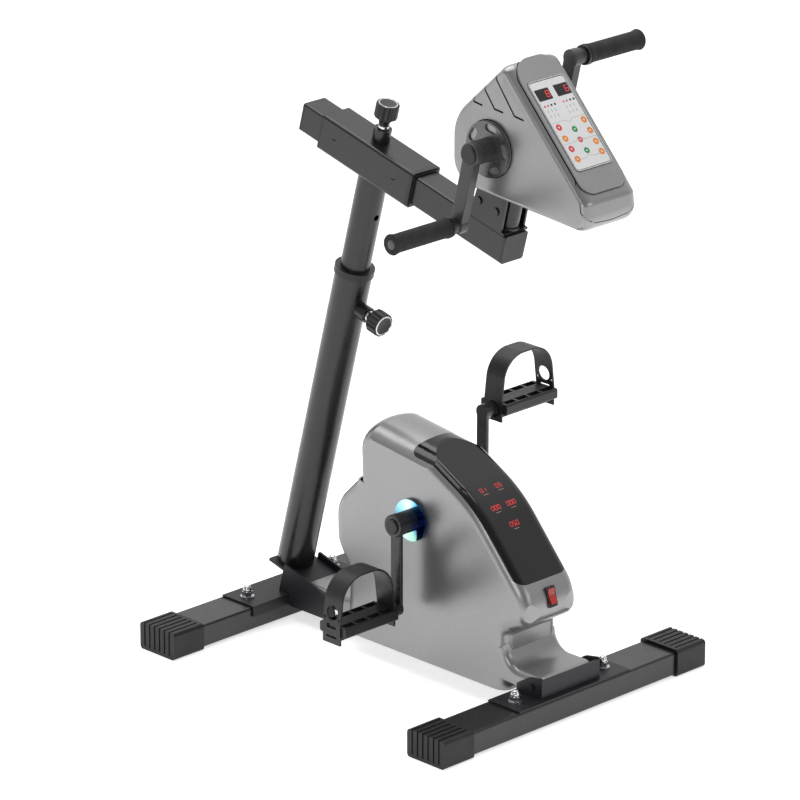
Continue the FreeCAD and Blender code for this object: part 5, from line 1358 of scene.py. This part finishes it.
@dataclass
class HandCrank(Builder):
    """Axle, discs, arms and grips of the hand crank, with lengths in millimetres.

    Attributes:
        grip_radius: Radius of a grip between its flared ends.
        grip_end: Radius of its flared ends.
        grip_length: Length of the foam.
        flange: Radius and width of the flange at its inner end.
        flange_bore: Radius of the flange's hole.
        foam_bore: Radius of the hole through the foam.
        flange_bevel: Bevel of the flange's inner edge.
        flange_gap: Gap between the flange and the foam.
        flare: Bevel of the foam's inner end.
        waist: Points between a flared end and the plain length, outward from its radius and along.
        end_round: Points of the outer end's rounding, inward from the end's radius and from its end face.
        plug_depth: Depth of the end plug.
        plug_edge: Points of the plug's edge, inward from the foam's bore and along from the foam's end.
    """

    grip_radius: float = 12.4
    grip_end: float = 13.9
    grip_length: float = 99.8
    flange: Point = (13.4, 4.0)
    flange_bore: float = 6.2
    foam_bore: float = 6.3
    flange_bevel: float = 0.6
    flange_gap: float = 0.2
    flare: float = 1.5
    waist: tuple = ((0.5, 6.5), (0.0, 10.0))
    end_round: tuple = ((0.0, 1.8), (0.6, 0.6), (1.8, 0.0))
    plug_depth: float = 3.0
    plug_edge: tuple = ((0.0, -0.3), (0.8, 0.1))
    dressed: ClassVar[dict[Finishes, str]] = {
        Finishes.SATIN_DISC: "upper_hub_discs",
        Finishes.STEEL: "upper_axle",
        Finishes.OXIDE: "grip_spindles",
        Finishes.NYLON: "upper_pulley",
        Finishes.CRANK: "upper_crank_arms",
        Finishes.PLASTIC: "upper_crank_caps",
    }

    def build(self) -> None:
        """Dress the hand crank and make its grips."""
        self.dress()
        for side, sign in SIDES[::-1]:
            self.grip(side, sign)

    def grip(self, side: str, sign: int) -> None:
        """Foam sleeve, flange and end plug of a grip.

        Args:
            side: Which hand it is for.
            sign: Its side of the middle plane.
        """
        node = "grip_" + side
        body = side + "_hand_grip"
        low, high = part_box(node)
        start = (low[0] if sign > 0 else -high[0]) / MM
        spindle = joint_place(side + "_grip_spin")
        origin = Vector((0.0, spindle.y, spindle.z))
        axis = ACROSS * sign
        radius, width = self.flange
        first = start + width
        last = first + self.grip_length
        bore = self.foam_bore
        edge = first - self.flange_gap
        flange = [(self.flange_bore, start), (radius - self.flange_bevel, start),
                  (radius, start + self.flange_bevel), (radius, edge), (self.flange_bore, edge)]
        foam = [(bore, first), (self.grip_end - self.flare, first), (self.grip_end, first + self.flare)]
        foam += [(self.grip_radius + out, first + along) for out, along in self.waist]
        foam += [(self.grip_radius + out, last - along) for out, along in self.waist[::-1]]
        foam += [(self.grip_end - inward, last - along) for inward, along in self.end_round] + [(bore, last)]
        plug = [(0.0, last - self.plug_depth), (bore, last - self.plug_depth)]
        plug += [(bore - inward, last + along) for inward, along in self.plug_edge]
        plug.append((0.0, last + self.plug_edge[-1][1]))
        self.keep(self.turned(side + "_grip_flange", flange, origin, axis), Finishes.PLASTIC, body,
                  "black_plastic", node)
        sleeve = self.turned(side + "_grip_foam", foam, origin, axis)
        self.keep(sleeve, Finishes.FOAM, body, "grip_foam", node)
        end = self.turned(side + "_grip_plug", plug, origin, axis)
        self.keep(end, Finishes.GRIP_PLUG, body, "grip_foam", node)


@dataclass
class Studio:
    """White floor, soft lights and the camera.

    Attributes:
        azimuth: Camera's turn round the object, in degrees.
        elevation: Camera's height above the horizon, in degrees.
        distance: From the eye to the aim point.
        focal: Focal length in millimetres.
        aim: Aim point from the middle of the base, on the floor.
        floor_size: Side of the floor.
        floor_glow: Light that the floor gives to the camera alone, so that it looks white.
        floor_grey: Linear grey of the floor.
        floor_roughness: Roughness of the floor.
        floor_sheen: Specular level of the floor.
        near_light: Strength of the surroundings on the camera's side.
        far_light: Strength of the surroundings beyond the object.
        light_span: Where the strength starts and ends to change, from -1 near the camera to 1 beyond.
        sensor: Width of the camera's sensor in millimetres.
        clip: Nearest and farthest distance that the camera sees.
        lamps: Name, place, aim point, side and watts of each lamp.
    """

    azimuth: float = -44.6
    elevation: float = 19.84
    distance: float = 7.1172
    focal: float = 245.22
    aim: Triple = (-0.04035, 0.0, 0.37478)
    floor_size: float = 30.0
    floor_glow: float = 0.62
    floor_grey: float = 0.86
    floor_roughness: float = 0.9
    floor_sheen: float = 0.1
    near_light: float = 0.22
    far_light: float = 0.85
    light_span: Point = (-0.6, 0.7)
    sensor: float = 36.0
    clip: Point = (0.1, 100.0)
    lamps: tuple = (("ceiling_softbox", (0.2, 0.5, 3.0), (0.0, 0.0, 0.4), 2.6, 46.0),
                    ("front_softbox", (0.8, -3.4, 1.8), (0.0, 0.0, 0.4), 1.8, 16.0),
                    ("left_softbox", (-2.2, -1.0, 1.3), (0.0, 0.0, 0.45), 1.0, 9.0))

    def build(self) -> None:
        """Make the floor, the lights, the world and the camera."""
        self.floor()
        self.world()
        for lamp in self.lamps:
            self.lamp(*lamp)
        self.camera()

    def seen(self, graph: Graph) -> bpy.types.NodeSocket:
        """Tell what is seen, directly or through a surface, from what is lit.

        Args:
            graph: The node graph.

        Returns:
            One for camera, glossy and transmission rays, and zero for others.
        """
        path = graph.node("LightPath").outputs
        share = path["Is Camera Ray"]
        for kind in ("Is Glossy Ray", "Is Transmission Ray"):
            share = graph.node("Math", {0: share, 1: path[kind]}, operation="MAXIMUM").outputs["Value"]
        return share

    def floor(self) -> None:
        """White floor that keeps a soft shadow."""
        mesh = bpy.data.meshes.new("floor")
        half = self.floor_size / 2
        mesh.from_pydata([(-half, -half, 0), (half, -half, 0), (half, half, 0), (-half, half, 0)], [],
                         [(0, 1, 2, 3)])
        floor = bpy.data.objects.new("floor", mesh)
        bpy.context.scene.collection.objects.link(floor)
        graph = Graph("white_floor")
        graph.set(Base_Color=(self.floor_grey,) * 3, Roughness=self.floor_roughness,
                  Specular_IOR_Level=self.floor_sheen, Emission_Color=(1.0, 1.0, 1.0))
        graph.feed(graph.spread(self.seen(graph), 0.0, self.floor_glow, 0.0, 1.0), "Emission Strength")
        mesh.materials.append(graph.material)

    def world(self) -> None:
        """Pale surroundings, brighter beyond the object than on the camera's side."""
        world = bpy.data.worlds.new("pale_surroundings")
        bpy.context.scene.world = world
        world.use_nodes = True
        tree = world.node_tree
        heading = math.radians(self.azimuth)
        away = tree.nodes.new("ShaderNodeVectorMath")
        away.operation = "DOT_PRODUCT"
        tree.links.new(tree.nodes.new("ShaderNodeTexCoord").outputs["Generated"], away.inputs[0])
        away.inputs[1].default_value = (-math.sin(heading), math.cos(heading), 0.0)
        strength = tree.nodes.new("ShaderNodeMapRange")
        strength.interpolation_type = "SMOOTHSTEP"
        for end, start, light in zip(("Min", "Max"), self.light_span, (self.near_light, self.far_light)):
            strength.inputs["From " + end].default_value = start
            strength.inputs["To " + end].default_value = light
        tree.links.new(away.outputs["Value"], strength.inputs["Value"])
        background = tree.nodes["Background"]
        background.inputs["Color"].default_value = (1.0, 1.0, 1.0, 1.0)
        tree.links.new(strength.outputs["Result"], background.inputs["Strength"])

    def lamp(self, name: str, place: Triple, target: Triple, size: float, power: float) -> None:
        """Add a square soft lamp.

        Args:
            name: The lamp's name.
            place: Where it stands.
            target: Where it points.
            size: Side of the lamp.
            power: Power in watts.
        """
        data = bpy.data.lights.new(name, "AREA")
        data.size = size
        data.energy = power
        lamp = bpy.data.objects.new(name, data)
        lamp.location = place
        lamp.rotation_euler = (Vector(target) - Vector(place)).to_track_quat("-Z", "Y").to_euler()
        bpy.context.scene.collection.objects.link(lamp)

    def camera(self) -> None:
        """Camera at the photograph's place."""
        data = bpy.data.cameras.new("camera")
        data.lens = self.focal
        data.sensor_width = self.sensor
        data.clip_start, data.clip_end = self.clip
        camera = bpy.data.objects.new("camera", data)
        a = math.radians(self.azimuth)
        e = math.radians(self.elevation)
        back = Vector((math.sin(a) * math.cos(e), -math.cos(a) * math.cos(e), math.sin(e)))
        target = base_middle() + Vector(self.aim)
        camera.location = target + back * self.distance
        camera.rotation_euler = (-back).to_track_quat("-Z", "Y").to_euler()
        bpy.context.scene.collection.objects.link(camera)
        bpy.context.scene.camera = camera


def main() -> None:
    """Build the trainer's sub-assemblies and the studio in order."""
    bpy.context.scene.view_settings.view_transform = "Standard"
    for part in (FloorBase(), LegUnit(), LegCrank(), Mast(), HandUnit(), HandCrank()):
        LOG.info("building %s", type(part).__name__)
        part.build()
    Studio().build()


if __name__ == "__main__":
    main()
